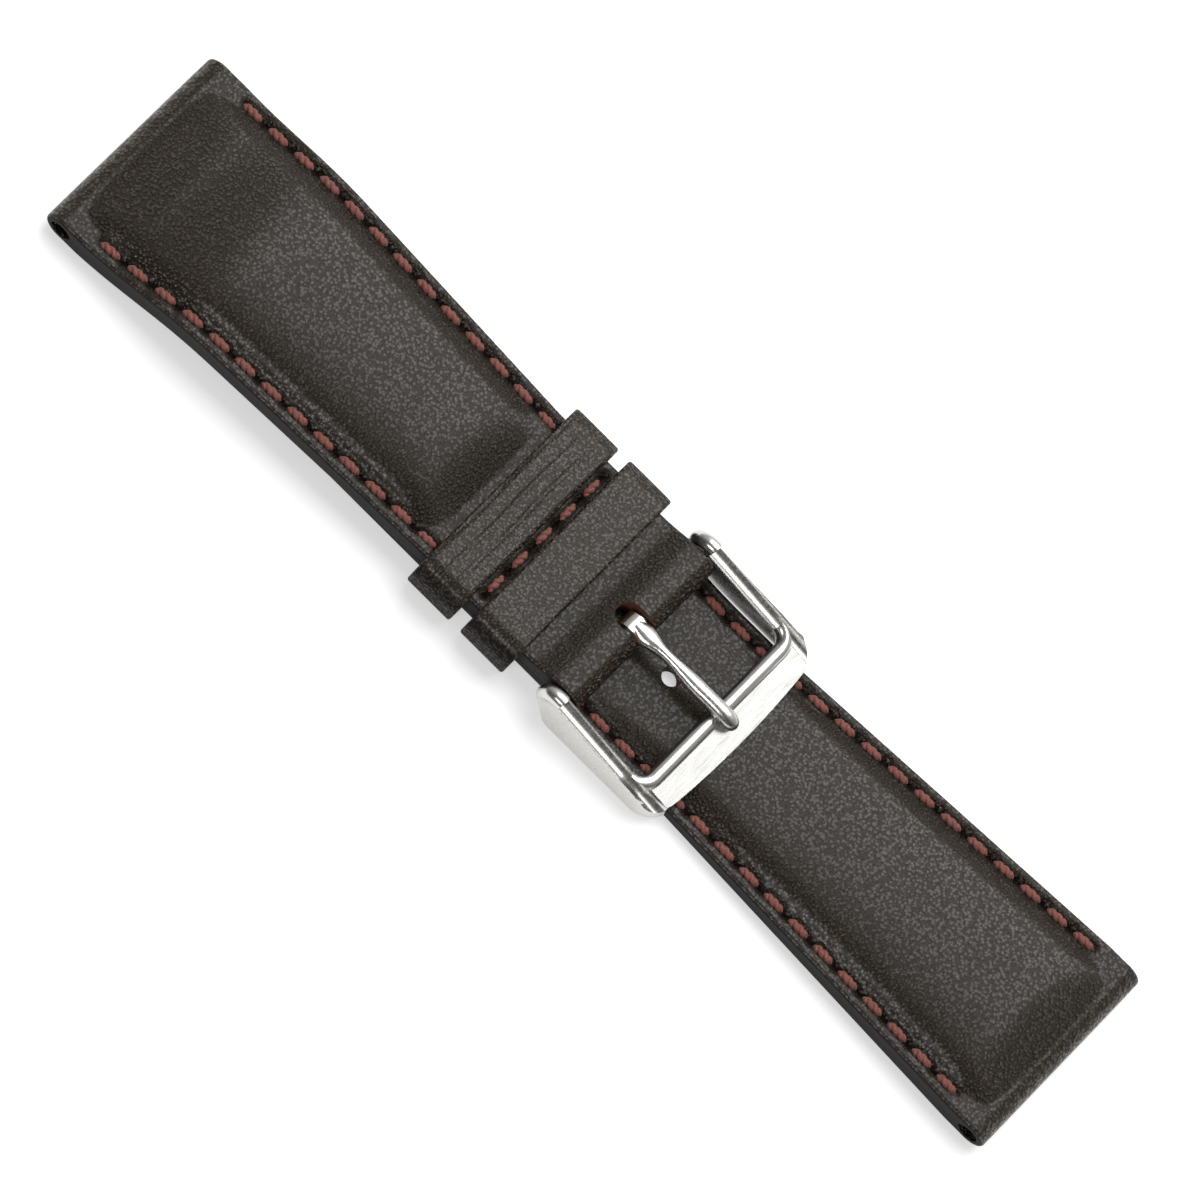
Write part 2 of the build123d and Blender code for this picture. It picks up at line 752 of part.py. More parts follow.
with BuildPart() as buckle_frame:
    # Plan of the frame, drawn in towards the top
    with BuildSketch(Plane.XY.offset(leg_foot)) as frame_plan:
        front_x = bar_x + frame_reach
        with BuildLine():
            ThreePointArc(
                (front_x - front_bulge, -frame_half_width), (front_x, 0),
                (front_x - front_bulge, frame_half_width),
            )
            Polyline(
                (front_x - front_bulge, frame_half_width), (bar_x - overrun, frame_half_width),
                (bar_x - overrun, -frame_half_width), (front_x - front_bulge, -frame_half_width),
            )
        make_face()
        fillet(frame_plan.vertices().group_by(Axis.X)[-1], flank_corner)
    extrude(amount=keeper_top * 2, taper=frame_taper)
    # Side view of a leg, from the rounded heel under the ear to the slope of the front bar
    with BuildSketch(Plane.XZ) as leg_side:
        with Locations((bar_x, bar_z)):
            Circle(ear_core_radius)
        with Locations((bar_x + heel_setback, leg_foot + heel_radius)):
            Circle(heel_radius)
        make_hull()
        with BuildLine():
            Polyline(
                (bar_x + heel_setback, leg_foot), (bar_x, bar_z), (tangent_x, tangent_z),
                (bead_x, bead_z), (bead_x + crease_out, bead_z + crease_up),
                (front_x, front_low + front_edge), (front_x + overrun, front_low),
                (front_x + overrun, leg_foot), close=True,
            )
        make_face()
    extrude(amount=lug_width, both=True, mode=Mode.INTERSECT)
    # Window between the legs
    with BuildSketch(Plane.XY) as window:
        with Locations((bead_x - bead_radius + bead_proud, 0)):
            Rectangle(frame_reach + overrun, ear_gap, align=(Align.MAX, Align.CENTER))
        fillet(window.vertices().group_by(Axis.X)[-1], bead_corner - bead_radius)
    extrude(amount=keeper_top * 2, both=True, mode=Mode.SUBTRACT)
    # Passage of the tail under the front bar
    with BuildSketch(Plane.YZ.offset(bar_x)):
        RectangleRounded(ear_gap, 2 * front_low, arch_corner)
    extrude(amount=frame_reach + overrun, mode=Mode.SUBTRACT)
    # Round bead along the legs and the front bar, then round the ears
    with BuildLine(bead_plane) as bead_path:
        FilletPolyline(
            (0, -bead_half), (leg_run, -bead_half), (leg_run, bead_half), (0, bead_half),
            radius=bead_corner,
        )
    with BuildSketch(Plane(bead_path.wire() @ 0, z_dir=leg_direction)):
        Circle(bead_radius)
    sweep(path=bead_path.wire())
    for side in (-1, 1):
        with BuildSketch(Plane((tangent_x, side * bead_half, tangent_z), z_dir=leg_direction)) as bead_end:
            Circle(bead_radius)
        revolve(
            bead_end.sketch, axis=bar_axis,
            revolution_arc=degrees(tangent_angle) - bead_end_angle,
        )
        with Locations((
            bar_x + bead_arc_radius * cos(radians(bead_end_angle)), side * bead_half,
            bar_z + bead_arc_radius * sin(radians(bead_end_angle)),
        )):
            Sphere(bead_radius)
    # Seat of the tongue in the front bar
    with BuildSketch(Plane.YZ.offset(bead_x - 2 * bead_radius)):
        with Locations((0, bead_z + bead_radius - notch_depth + tongue_front_radius + notch_play)):
            Circle(tongue_front_radius + notch_play)
    extrude(amount=frame_reach, mode=Mode.SUBTRACT)
    # Blind holes for the tips of the spring bar
    with BuildSketch(Plane.XZ):
        with Locations((bar_x, bar_z)):
            Circle(ear_hole_radius)
    extrude(amount=ear_gap / 2 + ear_hole_depth, both=True, mode=Mode.SUBTRACT)
buckle_frame.part.label = "buckle_frame"
export_step(buckle_frame.part, "parts/buckle_frame.step")


# Tongue: an eye round the spring bar and a drawn shank that bends down over the front bar
tongue_seat_z = bead_z + bead_radius - notch_depth + tongue_front_radius + notch_play
tongue_spots = [
    (bar_x, bar_z + tongue_rise, tongue_rear_radius, 0),
    (bar_x + frame_reach / 5, bar_z + tongue_rise + tongue_arch, tongue_rear_radius, 0),
    (bar_x + frame_reach * 2 / 5, bar_z + tongue_rise + tongue_arch, tongue_rear_radius, -2),
    (bar_x + frame_reach * 3 / 5, tongue_seat_z + tongue_arch, tongue_front_radius, -3),
    (bead_x, tongue_seat_z + notch_play, tongue_front_radius, -7),
    (bead_x + tongue_tip_out / 2, tongue_seat_z - tongue_tip_drop / 7, tongue_front_radius, -26),
    (bead_x + tongue_tip_out, tongue_seat_z - tongue_tip_drop, tongue_tip_radius, -50),
]

with BuildPart() as buckle_tongue:
    for x, z, radius, lean in tongue_spots:
        heading = Vector(cos(radians(lean)), 0, sin(radians(lean)))
        with BuildSketch(Plane((x, 0, z), x_dir=(0, 1, 0), z_dir=heading)):
            Circle(radius)
    loft()
    with BuildSketch(Plane.XZ):
        with Locations((bar_x, bar_z)):
            Circle(tongue_eye_radius)
    extrude(amount=tongue_eye_width / 2, both=True)
    with BuildSketch(Plane.XZ):
        with Locations((bar_x, bar_z)):
            Circle(bar_radius + tongue_play)
    extrude(amount=tongue_eye_width, both=True, mode=Mode.SUBTRACT)
buckle_tongue.part.label = "buckle_tongue"
export_step(buckle_tongue.part, "parts/buckle_tongue.step")
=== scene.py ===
import bpy
import numpy as np
from math import cos, pi, radians, sin
from mathutils import Matrix, Vector
from bpy.props import FloatProperty, FloatVectorProperty, IntProperty, PointerProperty


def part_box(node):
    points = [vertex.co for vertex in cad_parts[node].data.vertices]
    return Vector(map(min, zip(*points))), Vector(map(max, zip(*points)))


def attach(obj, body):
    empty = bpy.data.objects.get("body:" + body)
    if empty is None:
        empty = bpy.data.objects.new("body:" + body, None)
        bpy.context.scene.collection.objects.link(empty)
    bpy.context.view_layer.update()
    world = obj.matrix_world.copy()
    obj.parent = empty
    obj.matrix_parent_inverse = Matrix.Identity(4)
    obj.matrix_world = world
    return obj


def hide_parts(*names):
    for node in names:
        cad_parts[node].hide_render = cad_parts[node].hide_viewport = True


bl_info = {
    "name": "Padded leather watch strap",
    "version": (1, 0, 0),
    "blender": (4, 5, 0),
    "location": "View3D > Sidebar > Strap",
    "description": "Dresses the frame of a watch strap in leather, thread and polished steel",
    "category": "Add Mesh",
}

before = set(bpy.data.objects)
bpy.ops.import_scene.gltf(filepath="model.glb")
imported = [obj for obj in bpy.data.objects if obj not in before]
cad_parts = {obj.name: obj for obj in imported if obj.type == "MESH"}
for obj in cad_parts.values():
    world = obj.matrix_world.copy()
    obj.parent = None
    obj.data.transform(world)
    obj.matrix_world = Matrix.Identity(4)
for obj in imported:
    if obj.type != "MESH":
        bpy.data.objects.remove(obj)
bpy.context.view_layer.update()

MM = 0.001

# Places of the strap in millimetres, as its frame has them
LUG_X = 71.2
TUBE_RADIUS = 2.15
TUBE_X = LUG_X - TUBE_RADIUS
TUNNEL_RADIUS = 1.3
TUNNEL_END = TUBE_X - 2.6
BAR_X = 5.0
BAR_Z = 5.19
BAR_HOLE = 0.85
LOOP_RADIUS = 1.95
FOLD_LOW = 3.24
FOLD_THICKNESS = 2.8
TAIL_LIFT = 1.22
TAIL_THICKNESS = 1.9
TIP_X = -43.8
TIP_LENGTH = 11.0
TIP_NOSE = 4.4
CLIMB = (-TUBE_X, TIP_X - 2.5)
DROP = (0.1, 13.675)
BODY_START = 18.0125
TAIL_RISE = 0.35
PAD_END = -16.875
LUG_THICKNESS = 4.3
STRAIGHT_LUG = 5.0
MARGIN = 2.35
SHOULDER = 2.9
CROWN_DIP = 0.1
CROWN_ENDS = 0.05
CROWN_EXTRA = 0.45
SHORT_CROWN = (-TUBE_X, PAD_END, 0.13, 0.16)
TAIL_CROWN = (1.8, TUBE_X, 0.82, 0.11)
SLOT_X = 2.25
SLOT_HALF = 1.5
HOLES_X = TIP_X + 23.0 + 6.5 * np.arange(7)
HOLE_RADIUS = 1.1
SHORT_LINING_END = -10.475
TAIL_LINING_START = TIP_X + 1.6
LINING_RIM = 1.0
RECESS_DEPTH = 0.35

# Sewn rows: where the channel starts, the gap before the first stitch and the first stitch's
# middle are counted from the lug end
ROW_START = 6.0
FIRST_GAP = 6.2 - (3.85 - 2.75) / 2
FIRST_MIDDLE = 6.2 + 2.75 / 2
SHORT_ROW_END = -10.6
SHORT_STITCHES = 14
TAIL_STITCHES = 25
FOLD_ROW_X = -8.825
CHANNEL_WIDTH = 0.5
# Width of the painted shade along a sewn channel
PAINTED_SHADE_WIDTH = 0.42
ROW_FADE = 0.3
THREAD_SUNK = 0.2

# Angles in degrees from which an edge of a mesh is drawn sharp
CUT_ANGLE = 40
LEATHER_ANGLE = 50
THREAD_ANGLE = 75
STEEL_ANGLE = 32


# ---- Curves of the strap ----

def ease(value, low, high):
    """Rise from 0 at low to 1 at high along a curve that is level at both ends."""
    share = np.clip((value - low) / (high - low), 0, 1)
    return share ** 3 * (10 - 15 * share + 6 * share ** 2)


def short_low(x):
    """Underside of the buckle half: on the ground at the lug, up over the tail at the fold."""
    return FOLD_LOW * ease(x, *CLIMB)


def short_high(x):
    """Top of the buckle half: a thickness that shrinks in a line, and the loop's swell."""
    body = np.interp(x, (-TUNNEL_END, PAD_END), (LUG_THICKNESS, FOLD_THICKNESS))
    return short_low(x) + body + (2 * LOOP_RADIUS - FOLD_THICKNESS) * ease(x, -1.6, BAR_X)


def short_half(x, sizes):
    """Half width of the buckle half, narrowing in a line from the lug to the keepers."""
    ends = (sizes.lug_width / MM / 2, sizes.fold_width / MM / 2)
    return np.interp(x, (-LUG_X + STRAIGHT_LUG, PAD_END), ends)


def tail_low(x):
    """Underside of the tail: lifted in the keepers, on the ground from the buckle on."""
    return TAIL_LIFT * (1 - ease(x, *DROP))


def tail_high(x):
    """Top of the tail: underside plus a thickness that grows in two lines."""
    thin = np.interp(x, (DROP[0], BODY_START), (TAIL_THICKNESS, TAIL_THICKNESS + TAIL_RISE))
    thick = np.interp(x, (BODY_START, TUNNEL_END), (0, LUG_THICKNESS - TAIL_THICKNESS - TAIL_RISE))
    return tail_low(x) + thin + thick


def arc(first, middle, last, count):
    """Points on the circle through three points, evenly spaced in angle from first to last."""
    (ax, ay), (bx, by), (cx, cy) = first, middle, last
    d = 2 * (ax * (by - cy) + bx * (cy - ay) + cx * (ay - by))
    a, b, c = ax * ax + ay * ay, bx * bx + by * by, cx * cx + cy * cy
    ux = (a * (by - cy) + b * (cy - ay) + c * (ay - by)) / d
    uy = (a * (cx - bx) + b * (ax - cx) + c * (bx - ax)) / d
    turn = np.unwrap(np.arctan2([ay - uy, by - uy, cy - uy], [ax - ux, bx - ux, cx - ux]))
    angle = np.linspace(turn[0], turn[2], count)
    radius = np.hypot(ax - ux, ay - uy)
    return np.stack([ux + radius * np.cos(angle), uy + radius * np.sin(angle)], axis=1)


def tip_line(inset, sizes, count=60):
    """Outline of the tail's tip drawn in by inset, as two side arcs and a flatter nose arc."""
    side = sizes.tail_width / MM / 2 - inset
    nose = TIP_X + inset
    fall = arc((TIP_X + TIP_LENGTH, side), (nose + TIP_LENGTH / 3, side * 0.75),
               (nose + TIP_NOSE / 5, TIP_NOSE), count)
    end = arc((nose + TIP_NOSE / 5, TIP_NOSE), (nose, 0), (nose + TIP_NOSE / 5, -TIP_NOSE), count)
    climb = fall[::-1] * (1, -1)
    return np.concatenate([fall[:-1], end[:-1], climb])


def tail_half(x, sizes):
    """Half width of the tail: round at the tip, even to the buckle, then widening to the lug."""
    line = tip_line(0, sizes)
    near = line[:, 1] >= 0
    tip = np.interp(x, line[near][::-1, 0], line[near][::-1, 1])
    ends = (sizes.tail_width / MM / 2, sizes.lug_width / MM / 2)
    body = np.interp(x, (BODY_START, LUG_X - STRAIGHT_LUG), ends)
    return np.where(x < TIP_X + TIP_LENGTH, tip, body)


def crown(x, inset, half, place, sizes):
    """Padding: the sum of a rounded shoulder from the margin in and a parabola over the width.
    Along the strap its height is the product of two sine rises, one from each end."""
    start, end, up, down = place
    along = np.clip((x - start) / (end - start), 0, 1)
    rise = (np.sin(pi / 2 * np.minimum(along / up, 1))
            * np.sin(pi / 2 * np.minimum((1 - along) / down, 1)))
    inward = np.clip((inset - MARGIN) / SHOULDER, 0, 1)
    shoulder = 1 - (1 - inward) ** 2.2
    dome = np.clip((inset - MARGIN) / np.maximum(half - MARGIN, 1), 0, 1)
    height = CROWN_ENDS + (sizes.crown_height / MM + CROWN_EXTRA) * rise
    return np.maximum(height * (0.5 * shoulder + 0.5 * (1 - (1 - dome) ** 2)) - CROWN_DIP, 0)


def soft_step(value, width):
    """Rise from 0 to 1 over width on both sides of zero, following the hyperbolic tangent."""
    return 0.5 + 0.5 * np.tanh(value / width)


def bell(value, width):
    """Bell curve: 1 at zero and falling off over width on both sides."""
    return np.exp(-(value / width) ** 2)


def off_pitch(value, pitch):
    """Distance from the nearest whole multiple of the pitch."""
    gap = value / pitch
    return np.abs(gap - np.round(gap)) * pitch


# ---- Meshes ----

def merge_mesh(name, points, triangles, smooth_angle):
    """Mesh from points in millimetres: points that coincide become one, and flat faces go."""
    keys = np.round(points, 4)
    _, first, inverse = np.unique(keys, axis=0, return_index=True, return_inverse=True)
    inverse = inverse.reshape(-1)
    kept = points[first]
    faces = inverse[triangles]
    p, q, s = faces.T
    faces = faces[(p != q) & (q != s) & (p != s)]
    a, b, c = kept[faces[:, 0]], kept[faces[:, 1]], kept[faces[:, 2]]
    if np.einsum("ij,ij->i", a, np.cross(b, c)).sum() < 0:
        faces = faces[:, ::-1]
    mesh = bpy.data.meshes.new(name)
    mesh.vertices.add(len(kept))
    mesh.vertices.foreach_set("co", (kept * MM).astype(np.float32).ravel())
    mesh.loops.add(len(faces) * 3)
    mesh.loops.foreach_set("vertex_index", faces.astype(np.int32).ravel())
    mesh.polygons.add(len(faces))
    mesh.polygons.foreach_set("loop_start", np.arange(0, len(faces) * 3, 3, dtype=np.int32))
    mesh.update(calc_edges=True)
    mesh.validate()
    mesh.shade_smooth()
    mesh.set_sharp_from_angle(angle=radians(smooth_angle))
    obj = bpy.data.objects.new(name, mesh)
    bpy.context.scene.collection.objects.link(obj)
    return obj


def grid_triangles(rows, columns, wrap_rows):
    """Two triangles for each cell of a grid whose rows, and if asked its columns, are loops."""
    r = np.arange(rows if wrap_rows else rows - 1)
    r, c = np.meshgrid(r, np.arange(columns), indexing="ij")
    r2, c2 = (r + 1) % rows, (c + 1) % columns
    p, q, s, t = r * columns + c, r2 * columns + c, r2 * columns + c2, r * columns + c2
    halves = ((p, q, s), (p, s, t))
    return np.concatenate([np.stack(half, -1).reshape(-1, 3) for half in halves])


def grid_object(name, grid, wrap_rows, smooth_angle):
    """Object from a grid of points (rows, columns, 3) whose rows are closed loops."""
    rows, columns = grid.shape[:2]
    triangles = grid_triangles(rows, columns, wrap_rows)
    return merge_mesh(name, grid.reshape(-1, 3), triangles, smooth_angle)


def cut(obj, cutter):
    """Cut one solid out of another and give the cut walls the cutter's material."""
    knife = obj.modifiers.new("Cut", "BOOLEAN")
    knife.operation = "DIFFERENCE"
    knife.solver = "EXACT"
    knife.material_mode = "TRANSFER"
    knife.object = cutter
    graph = bpy.context.evaluated_depsgraph_get()
    mesh = bpy.data.meshes.new_from_object(obj.evaluated_get(graph))
    if len(mesh.polygons) < 100:
        raise RuntimeError("the cut left nothing of " + obj.name)
    obj.modifiers.remove(knife)
    mesh.name = obj.name
    obj.data = mesh
    bpy.data.objects.remove(cutter, do_unlink=True)
    mesh.set_sharp_from_angle(angle=radians(CUT_ANGLE))


def read_all(items, key, width=1, kind=np.float32):
    """One property of all the items of a mesh, as rows of a width."""
    values = np.empty(len(items) * width, dtype=kind)
    items.foreach_get(key, values)
    return values.reshape(-1, width)


def paint(obj, name, rule):
    """Write a rule of the place in millimetres to a point attribute that the shaders read."""
    mesh = obj.data
    x, y, z = read_all(mesh.vertices, "co", 3).T.astype(float) / MM
    layer = mesh.attributes.new(name, "FLOAT", "POINT")
    layer.data.foreach_set("value", rule(x, y, z).astype(np.float32))


def paint_edges(obj):
    """Give the faces that look across the strap the second material slot."""
    mesh = obj.data
    across = read_all(mesh.polygons, "normal", 3)[:, 1]
    mesh.polygons.foreach_set("material_index", (np.abs(across) > 0.8).astype(np.int32))
    mesh.update()


def finish(obj, *names):
    """Add finishes to a piece, each in a material slot of its own."""
    for name in names:
        obj.data.materials.append(bpy.data.materials[name])


def dress(obj, body, nodes, name):
    """Give a piece its finish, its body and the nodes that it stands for."""
    if not obj.data.materials:
        finish(obj, name)
    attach(obj, body)
    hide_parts(*nodes)


# ---- Shader node groups ----

def node_group(name, inputs, outputs):
    """Empty shader node group with named sockets; inputs are (kind, name, default)."""
    group = bpy.data.node_groups.new(name, "ShaderNodeTree")
    for kind, label, default in inputs:
        socket = group.interface.new_socket(label, in_out="INPUT", socket_type=kind)
        if default is not None:
            socket.default_value = default
    for kind, label in outputs:
        group.interface.new_socket(label, in_out="OUTPUT", socket_type=kind)
    return group, group.nodes.new("NodeGroupInput"), group.nodes.new("NodeGroupOutput")


def place(tree, kind, values=None, **settings):
    """Add a node, set its properties and the values of its sockets."""
    node = tree.nodes.new(kind)
    for key, value in settings.items():
        setattr(node, key, value)
    for key, value in (values or {}).items():
        node.inputs[key].default_value = value
    return node


def feed(tree, socket, value):
    """Link a socket to another one, or set it to a number or colour."""
    if isinstance(value, bpy.types.NodeSocket):
        tree.links.new(value, socket)
    else:
        socket.default_value = value


def maths(tree, operation, first, second):
    """Math node on two sockets or numbers."""
    node = place(tree, "ShaderNodeMath", operation=operation)
    feed(tree, node.inputs[0], first)
    feed(tree, node.inputs[1], second)
    return node.outputs[0]


def times(tree, first, second):
    """Product of two sockets or numbers."""
    return maths(tree, "MULTIPLY", first, second)


def ramp_of(tree, socket, low, high, start=0.0, end=1.0):
    """Map Range node that clamps."""
    node = place(tree, "ShaderNodeMapRange", {"From Min": low, "From Max": high,
                                              "To Min": start, "To Max": end})
    tree.links.new(socket, node.inputs["Value"])
    return node.outputs[0]


def blend_of(tree, factor, first, second):
    """Mix two colours, given as sockets or values."""
    node = place(tree, "ShaderNodeMix", data_type="RGBA")
    for index, value in ((0, factor), (6, first), (7, second)):
        feed(tree, node.inputs[index], value)
    return node.outputs[2]


def grain_group():
    """Pebbled leather grain: cells with soft borders, bent out of line by a noise. Height is the
    cells' domes with a fine noise on them, crease is the way down from a dome's top, and cloud
    is a slow change of tone."""
    group, source, result = node_group(
        "Leather grain",
        [("NodeSocketVector", "Place", None), ("NodeSocketFloat", "Cells per metre", 3600.0),
         ("NodeSocketFloat", "Unevenness", 0.4)],
        [("NodeSocketFloat", label) for label in ("Height", "Crease", "Cloud")],
    )
    link = group.links.new
    spot, density = source.outputs["Place"], source.outputs["Cells per metre"]

    def noise(share, detail, roughness):
        """Outputs of a noise whose scale is a share of the number of cells."""
        node = place(group, "ShaderNodeTexNoise", {"Detail": detail, "Roughness": roughness})
        link(spot, node.inputs["Vector"])
        link(times(group, density, share), node.inputs["Scale"])
        return node.outputs

    shift = place(group, "ShaderNodeVectorMath", operation="SCALE")
    link(noise(0.35, 3.0, 0.6)["Color"], shift.inputs[0])
    link(maths(group, "DIVIDE", 0.9, density), shift.inputs["Scale"])
    moved = place(group, "ShaderNodeVectorMath", operation="ADD")
    link(spot, moved.inputs[0])
    link(shift.outputs[0], moved.inputs[1])
    cells = place(group, "ShaderNodeTexVoronoi", {"Randomness": 1.0, "Smoothness": 0.25},
                  feature="SMOOTH_F1")
    link(moved.outputs[0], cells.inputs["Vector"])
    link(density, cells.inputs["Scale"])
    dome = ramp_of(group, cells.outputs["Distance"], 0.6, 0.05)
    fine = times(group, noise(1.3, 4.0, 0.65)["Fac"], source.outputs["Unevenness"])
    domes = times(group, maths(group, "POWER", dome, 0.8), 0.7)
    link(maths(group, "ADD", domes, fine), result.inputs["Height"])
    link(maths(group, "SUBTRACT", 1.0, dome), result.inputs["Crease"])
    link(noise(0.045, 5.0, 0.55)["Fac"], result.inputs["Cloud"])


def fibre_group():
    """Fine threads or brush lines along one direction of a stretched noise."""
    group, source, result = node_group(
        "Fibres",
        [("NodeSocketVector", "Place", None), ("NodeSocketVector", "Stretch", (1.0, 1.0, 1.0)),
         ("NodeSocketFloat", "Lines per metre", 4000.0)],
        [("NodeSocketFloat", "Height")],
    )
    link = group.links.new
    scaled = place(group, "ShaderNodeVectorMath", operation="MULTIPLY")
    link(source.outputs["Place"], scaled.inputs[0])
    link(source.outputs["Stretch"], scaled.inputs[1])
    lines = place(group, "ShaderNodeTexNoise", {"Detail": 4.0, "Roughness": 0.6})
    link(scaled.outputs[0], lines.inputs["Vector"])
    link(source.outputs["Lines per metre"], lines.inputs["Scale"])
    link(lines.outputs["Fac"], result.inputs["Height"])


def linear(colour):
    """Linear value of a colour that is given as it looks on a screen."""
    return tuple(((c + 0.055) / 1.055) ** 2.4 if c > 0.04045 else c / 12.92
                 for c in colour[:3]) + (1.0,)


def new_material(name, **settings):
    """Tree and shader of a new material with a Principled shader, some of its sockets set."""
    material = bpy.data.materials.new(name)
    material.use_nodes = True
    shader = material.node_tree.nodes["Principled BSDF"]
    for key, value in settings.items():
        shader.inputs[key.replace("_", " ")].default_value = value
    return material.node_tree, shader


def bump_to(tree, shader, height, strength, distance):
    """Bump node between a height and the shader's normal."""
    bump = place(tree, "ShaderNodeBump", {"Strength": strength, "Distance": distance})
    tree.links.new(height, bump.inputs["Height"])
    tree.links.new(bump.outputs["Normal"], shader.inputs["Normal"])


def leather_material(name, dark, light, crease, cells, depth, roughness, coat):
    """Dyed leather with its grain in the height, the tone and the gloss: creases are duller than
    pebbles, and darker by painted shade. A point attribute of painted shade darkens the sewn
    channels and the keepers' upright ends and makes them rougher, with less coat and specular,
    and the worn attribute browns the pebbles along the end of the fold."""
    tree, shader = new_material(name, Coat_Roughness=0.24, Specular_Tint=(1.0, 0.90, 0.75, 1.0),
                                Coat_Tint=(1.0, 0.94, 0.86, 1.0))
    link = tree.links.new
    where = place(tree, "ShaderNodeTexCoord")
    grain = place(tree, "ShaderNodeGroup", node_tree=bpy.data.node_groups["Leather grain"])
    link(where.outputs["Object"], grain.inputs["Place"])
    grain.inputs["Cells per metre"].default_value = cells
    height = grain.outputs["Height"]
    painted_shade = place(tree, "ShaderNodeAttribute", attribute_name="painted_shade").outputs["Fac"]
    worn = place(tree, "ShaderNodeAttribute", attribute_name="worn").outputs["Fac"]
    tone = blend_of(tree, ramp_of(tree, grain.outputs["Cloud"], 0.35, 0.68),
                    linear(dark), linear(light))
    # Painted shade: the creases between the pebbles blend to a darker tone
    tone = blend_of(tree, ramp_of(tree, grain.outputs["Crease"], 0.3, 1.0, 0.0, 0.7),
                    tone, linear(crease))
    tone = blend_of(tree, times(tree, worn, ramp_of(tree, height, 0.35, 0.9)),
                    tone, linear((0.27, 0.18, 0.11)))
    # Painted shade: the sewn channels and the keepers' upright ends blend to near black
    tone = blend_of(tree, times(tree, painted_shade, 0.8), tone, linear((0.07, 0.045, 0.04)))
    link(tone, shader.inputs["Base Color"])
    rough = ramp_of(tree, height, 0.25, 0.85, roughness + 0.12, roughness - 0.06)
    rough = maths(tree, "ADD", rough, times(tree, painted_shade, 0.25))
    link(rough, shader.inputs["Roughness"])
    # Where the painted shade lies, coat and specular fade
    unshaded = maths(tree, "SUBTRACT", 1.0, painted_shade)
    link(times(tree, times(tree, unshaded, coat), ramp_of(tree, height, 0.15, 0.85, 0.2, 1.0)),
         shader.inputs["Coat Weight"])
    link(times(tree, ramp_of(tree, height, 0.15, 0.85, 0.25, 0.8), unshaded),
         shader.inputs["Specular IOR Level"])
    bump_to(tree, shader, height, 1.0, depth)


def fibres_of(tree, stretch, lines):
    """Height of the fibres at an object's own place."""
    where = place(tree, "ShaderNodeTexCoord")
    fibres = place(tree, "ShaderNodeGroup", {"Stretch": stretch, "Lines per metre": lines},
                   node_tree=bpy.data.node_groups["Fibres"])
    tree.links.new(where.outputs["Object"], fibres.inputs["Place"])
    return fibres.outputs["Height"]


def fibre_material(name, light, dark, fibres, span, strength, depth, **settings):
    """Thread or the cut wall of leather: two tones along its fibres, and a bump."""
    tree, shader = new_material(name, **settings)
    height = fibres_of(tree, *fibres)
    tree.links.new(blend_of(tree, ramp_of(tree, height, *span), linear(dark), linear(light)),
                   shader.inputs["Base Color"])
    bump_to(tree, shader, height, strength, depth)


def steel_material(name, colour, roughness, lines, depth):
    """Steel: faint polishing lines in the height and the roughness."""
    tree, shader = new_material(name, Metallic=1.0, Base_Color=linear(colour))
    height = fibres_of(tree, (1.0, 0.12, 1.0), lines)
    tree.links.new(ramp_of(tree, height, 0.3, 0.7, roughness, roughness * 1.6),
                   shader.inputs["Roughness"])
    bump_to(tree, shader, height, 0.25, depth)


# ---- Sizes and colours that a user would change ----

def length(name, description, default):
    """Setting that is a length in metres."""
    return FloatProperty(name=name, description=description, default=default, unit="LENGTH")


def dye(name, description, default):
    """Setting that is a colour as it looks on a screen."""
    return FloatVectorProperty(name=name, description=description, subtype="COLOR_GAMMA", size=3,
                               default=default)


class StrapSizes(bpy.types.PropertyGroup):
    """Sizes of the strap"""
    lug_width: length("Lug width", "Width at the watch", 0.026)
    fold_width: length("Fold width", "Width at the buckle", 0.0224)
    tail_width: length("Tail width", "Width of the tail", 0.022)
    crown_height: length("Crown height", "Rise of the padding", 0.0014)
    edge_round: length("Edge round", "Rounding of the leather edges", 0.00045)
    channel_depth: length("Channel depth", "Depth of the sewn channel", 0.00034)
    stitch_inset: length("Stitch inset", "Row's distance from the edge", 0.0016)
    stitch_pitch: length("Stitch pitch", "From stitch to stitch", 0.00385)
    stitch_length: length("Stitch length", "Visible length of a stitch", 0.00285)
    thread_width: length("Thread width", "Width of the twisted thread", 0.00098)
    thread_turns: FloatProperty(name="Thread twist", default=2.2,
                                description="Turns of the plies in one stitch")
    keeper_round: length("Keeper edge round", "Rounding of the keepers' cut edges", 0.0003)
    step: length("Mesh step", "Length of a mesh cell along the strap", 0.00036)
    edge_columns: IntProperty(name="Edge columns", default=22, min=8,
                              description="Mesh columns over the margin and shoulder")


class StrapColours(bpy.types.PropertyGroup):
    """Colours of the strap and the floor"""
    leather_dark: dye("Leather", "Dye of the outer leather", (0.135, 0.098, 0.07))
    leather_light: dye("Leather clouds", "Lighter clouds in the dye", (0.17, 0.132, 0.094))
    # Painted shade: darker tone blended into the creases between the pebbles
    crease_shade: dye("Leather creases", "Colour between the pebbles", (0.045, 0.035, 0.032))
    raw_edge: dye("Raw edge", "Undyed cut edge", (0.46, 0.31, 0.20))
    hole_edge: dye("Hole edge", "Stained wall of the adjusting holes", (0.30, 0.13, 0.11))
    thread_light: dye("Thread", "Lit fibres of the thread", (0.56, 0.29, 0.23))
    thread_dark: dye("Thread shade", "Darker fibres of the thread", (0.22, 0.09, 0.065))
    steel: dye("Steel", "Polished steel", (0.81, 0.805, 0.79))
    floor: dye("Floor", "Floor and backdrop", (0.86, 0.86, 0.86))


# ---- Surfaces ----

